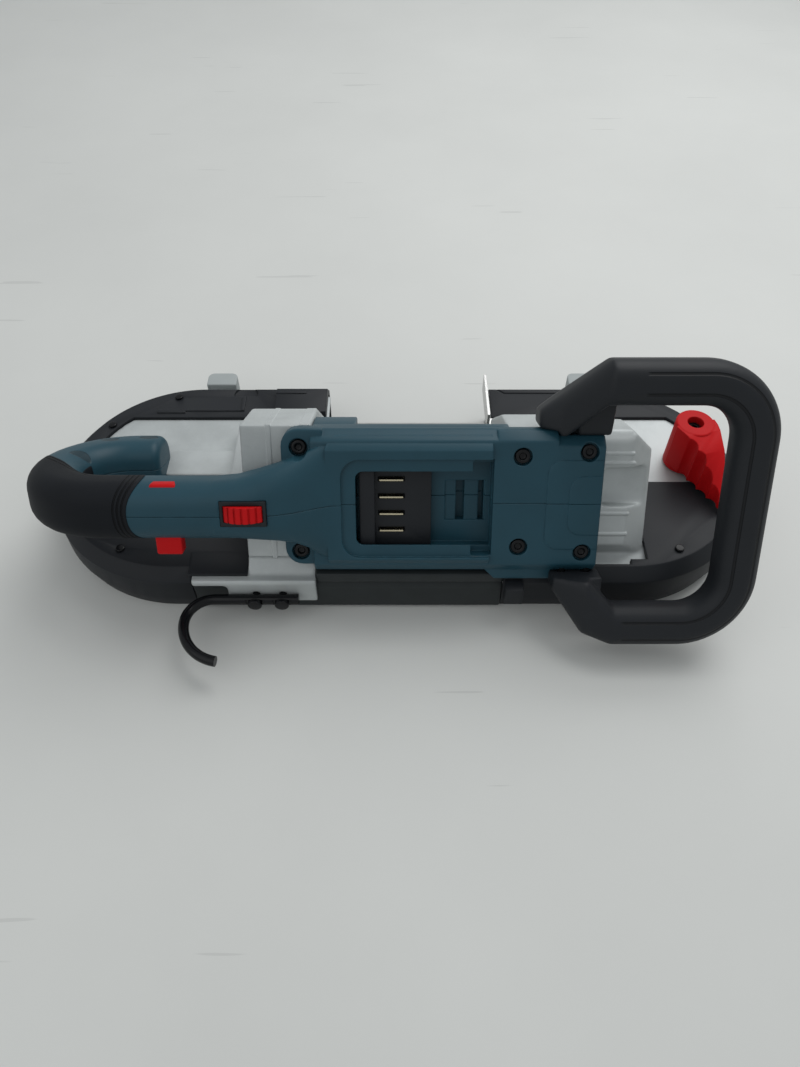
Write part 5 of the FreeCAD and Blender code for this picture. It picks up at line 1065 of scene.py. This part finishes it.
# Lines and marks, in millimetres: the grip's grooves and where they fade, the leg's ovals (x, u, half
# length, half height), and the front handle's loop with the inlay's outline at two distances from it
GROOVE_STEP, GROOVE_U, GROOVE_S, GROOVE_X = 2.6, (168, 170), (-17, -13), (-192, -198)
LEG_OVALS, OVAL_S = ((-205, 97.5, 6.5, 3.4), (-179, 92.5, 6.5, 3.4), (-216, 126, 6.5, 4.0)), (-16, -12)
LOOP_NEAR, LOOP_FAR, LOOP_RIGHT, LOOP_BEND_R = -99.5, 57.5, 212, 34
INLAY_AT, INLAY_X, INLAY_U = (-5.5, 6.5), (140, 143), (HANDLE_U - 2, HANDLE_U + 2)


def fade(field, span):
    """0 at the first of two places in millimetres, 1 at the second, smooth between."""
    return field.step(span[0] * MM, span[1] * MM)


def grip_grooves(finish):
    """Three curved lines behind the grip's front edge and two along its far edge on the bend."""
    x, s, u = finish.tool_axes()
    h = HANDLE
    wide = sizes().groove_width

    def groove(distance, n):
        return abs(distance - GROOVE_STEP * (n + 1) * MM).step(wide * 0.7, wide * 0.25)

    ahead = x - h["arc_x"] * MM
    aside = s - SEAM_S * MM
    front = (ahead * ahead + aside * aside).root() - h["arc_r"] * MM
    curved = strongest([groove(front, n) for n in range(3)]) * fade(u, GROOVE_U)
    slant = h["chord_turn"]
    outside = (u - h["chord_u"] * MM) * math.cos(slant) - (x - h["chord_x"] * MM) * math.sin(slant)
    straight = strongest([groove(outside, n) for n in range(2)])
    return curved.most(straight * fade(s, GROOVE_S) * fade(x, GROOVE_X))


def leg_slots(finish):
    """Two sunk ovals on the far side of the handle's lower leg and one where the leg leaves the grip."""
    x, s, u = finish.tool_axes()
    ovals = []
    for middle_x, middle_u, half_long, half_high in LEG_OVALS:
        along = (x - middle_x * MM) / (half_long * MM)
        across = (u - middle_u * MM) / (half_high * MM)
        ovals.append((along * along + across * across).step(1.15, 0.85))
    return strongest(ovals) * fade(s, OVAL_S) * 0.9


def inlay_line(finish):
    """The outline of the soft inlay, at two distances from the loop's middle line, on its upper side."""
    x, s, u = finish.tool_axes()
    wide = sizes().groove_width
    middle = (LOOP_FAR + LOOP_NEAR) / 2
    half = (LOOP_FAR - LOOP_NEAR) / 2
    out_x = (x - (LOOP_RIGHT - LOOP_BEND_R) * MM).most(0)
    out_s = (abs(s - middle * MM) - (half - LOOP_BEND_R) * MM).most(0)
    away = (out_x * out_x + out_s * out_s).root() - LOOP_BEND_R * MM
    lines = strongest([abs(away - distance * MM).step(wide, wide * 0.35) for distance in INLAY_AT])
    return lines * fade(x, INLAY_X) * fade(u, INLAY_U)


# Stage: the camera's frame height in millimetres, and each lamp's power setting, then its size, place and
# target in metres
FRAME_HEIGHT = 36
LAMPS = {"key_lamp": ("key_power", 1.3, (0.55, 0.75, 1.35), (-0.02, 0.0, 0.05)),
         "fill_lamp": ("fill_power", 1.6, (-0.9, -0.8, 1.2), (0.0, 0.0, 0.05))}


class SawStageBuild(bpy.types.Operator):
    """Lay the floor, hang the lamps and stand the camera"""
    bl_idname = "saw.stage"
    bl_label = "Stage"

    def execute(self, context):
        scene = context.scene
        stage = scene.saw_stage
        clear_selection()
        bpy.ops.mesh.primitive_plane_add(size=2 * stage.floor_half)
        floor = settle("studio_floor")
        floor.data.materials.append(floor_finish())
        for name, (power, size, spot, target) in LAMPS.items():
            light = bpy.data.lights.new(name, "AREA")
            light.energy = getattr(stage, power)
            light.size = size
            way = Vector(target) - Vector(spot)
            hang(name, light, spot, way.to_track_quat("-Z", "Y").to_euler())
        camera = bpy.data.cameras.new("photo_camera")
        camera.lens = stage.lens
        camera.sensor_fit = "VERTICAL"
        camera.sensor_height = FRAME_HEIGHT
        scene.camera = hang("photo_camera", camera, stage.camera_place, (stage.camera_tilt, 0, 0))
        world = bpy.data.worlds.new("studio")
        world.use_nodes = True
        background = world.node_tree.nodes["Background"]
        background.inputs["Color"].default_value = shaded(colours().room, 1)
        background.inputs["Strength"].default_value = stage.world_level
        scene.world = world
        scene.view_settings.view_transform = "Standard"
        return {"FINISHED"}


def hang(name, data, spot, angles):
    """Put a lamp or the camera into the scene."""
    holder = bpy.data.objects.new(name, data)
    holder.location = spot
    holder.rotation_euler = angles
    bpy.context.scene.collection.objects.link(holder)
    return holder


def floor_finish():
    """Worn white studio floor: soft stains and a few faint scratches."""
    finish = Finish("studio_floor")
    base = colours().floor
    stain = finish.noise(3.2, detail=5, roughness=0.6)
    dust = finish.noise(160, detail=4, roughness=0.7).step(0.70, 0.80)
    scratch = finish.noise(6, detail=2, stretch=(1.0, 16.0, 1.0)).step(0.715, 0.73)
    body = finish.mix(stain, shaded(base, 0.92), shaded(base, 1.08))
    body = finish.mix(dust * 0.10, body, shaded(base, 0.5))
    body = finish.mix(scratch * 0.25, body, shaded(base, 0.55))
    finish.bump(finish.noise(300), 0.05 * MM, 0.4)
    return finish.shade(body, 0.55 + (stain - 0.5) * 0.2)


class SawPanel(bpy.types.Panel):
    """Lists the pieces of the saw and their sizes"""
    bl_idname = "VIEW3D_PT_saw"
    bl_label = "Band saw"
    bl_space_type = "VIEW_3D"
    bl_region_type = "UI"
    bl_category = "Band saw"

    def draw(self, context):
        for step in STEPS:
            self.layout.operator(step.bl_idname)
        for group in (context.scene.saw_sizes, context.scene.saw_colours, context.scene.saw_stage):
            for name in group.__annotations__:
                self.layout.prop(group, name)


GROUPS = {"saw_sizes": SawSizes, "saw_colours": SawColours, "saw_stage": SawStage}
STEPS = (SawFinishes, SawHousing, SawHandleGrip, SawFrontHandle, SawCastings, SawGuards, SawLever,
         SawRounded, SawStageBuild)


def register():
    for name, group in GROUPS.items():
        bpy.utils.register_class(group)
        setattr(bpy.types.Scene, name, PointerProperty(type=group))
    for kind in STEPS + (SawPanel,):
        bpy.utils.register_class(kind)


def unregister():
    for kind in STEPS + (SawPanel,):
        bpy.utils.unregister_class(kind)
    for name, group in GROUPS.items():
        delattr(bpy.types.Scene, name)
        bpy.utils.unregister_class(group)


def main():
    register()
    for step in STEPS:
        family, action = step.bl_idname.split(".")
        getattr(getattr(bpy.ops, family), action)()


if __name__ == "__main__":
    main()
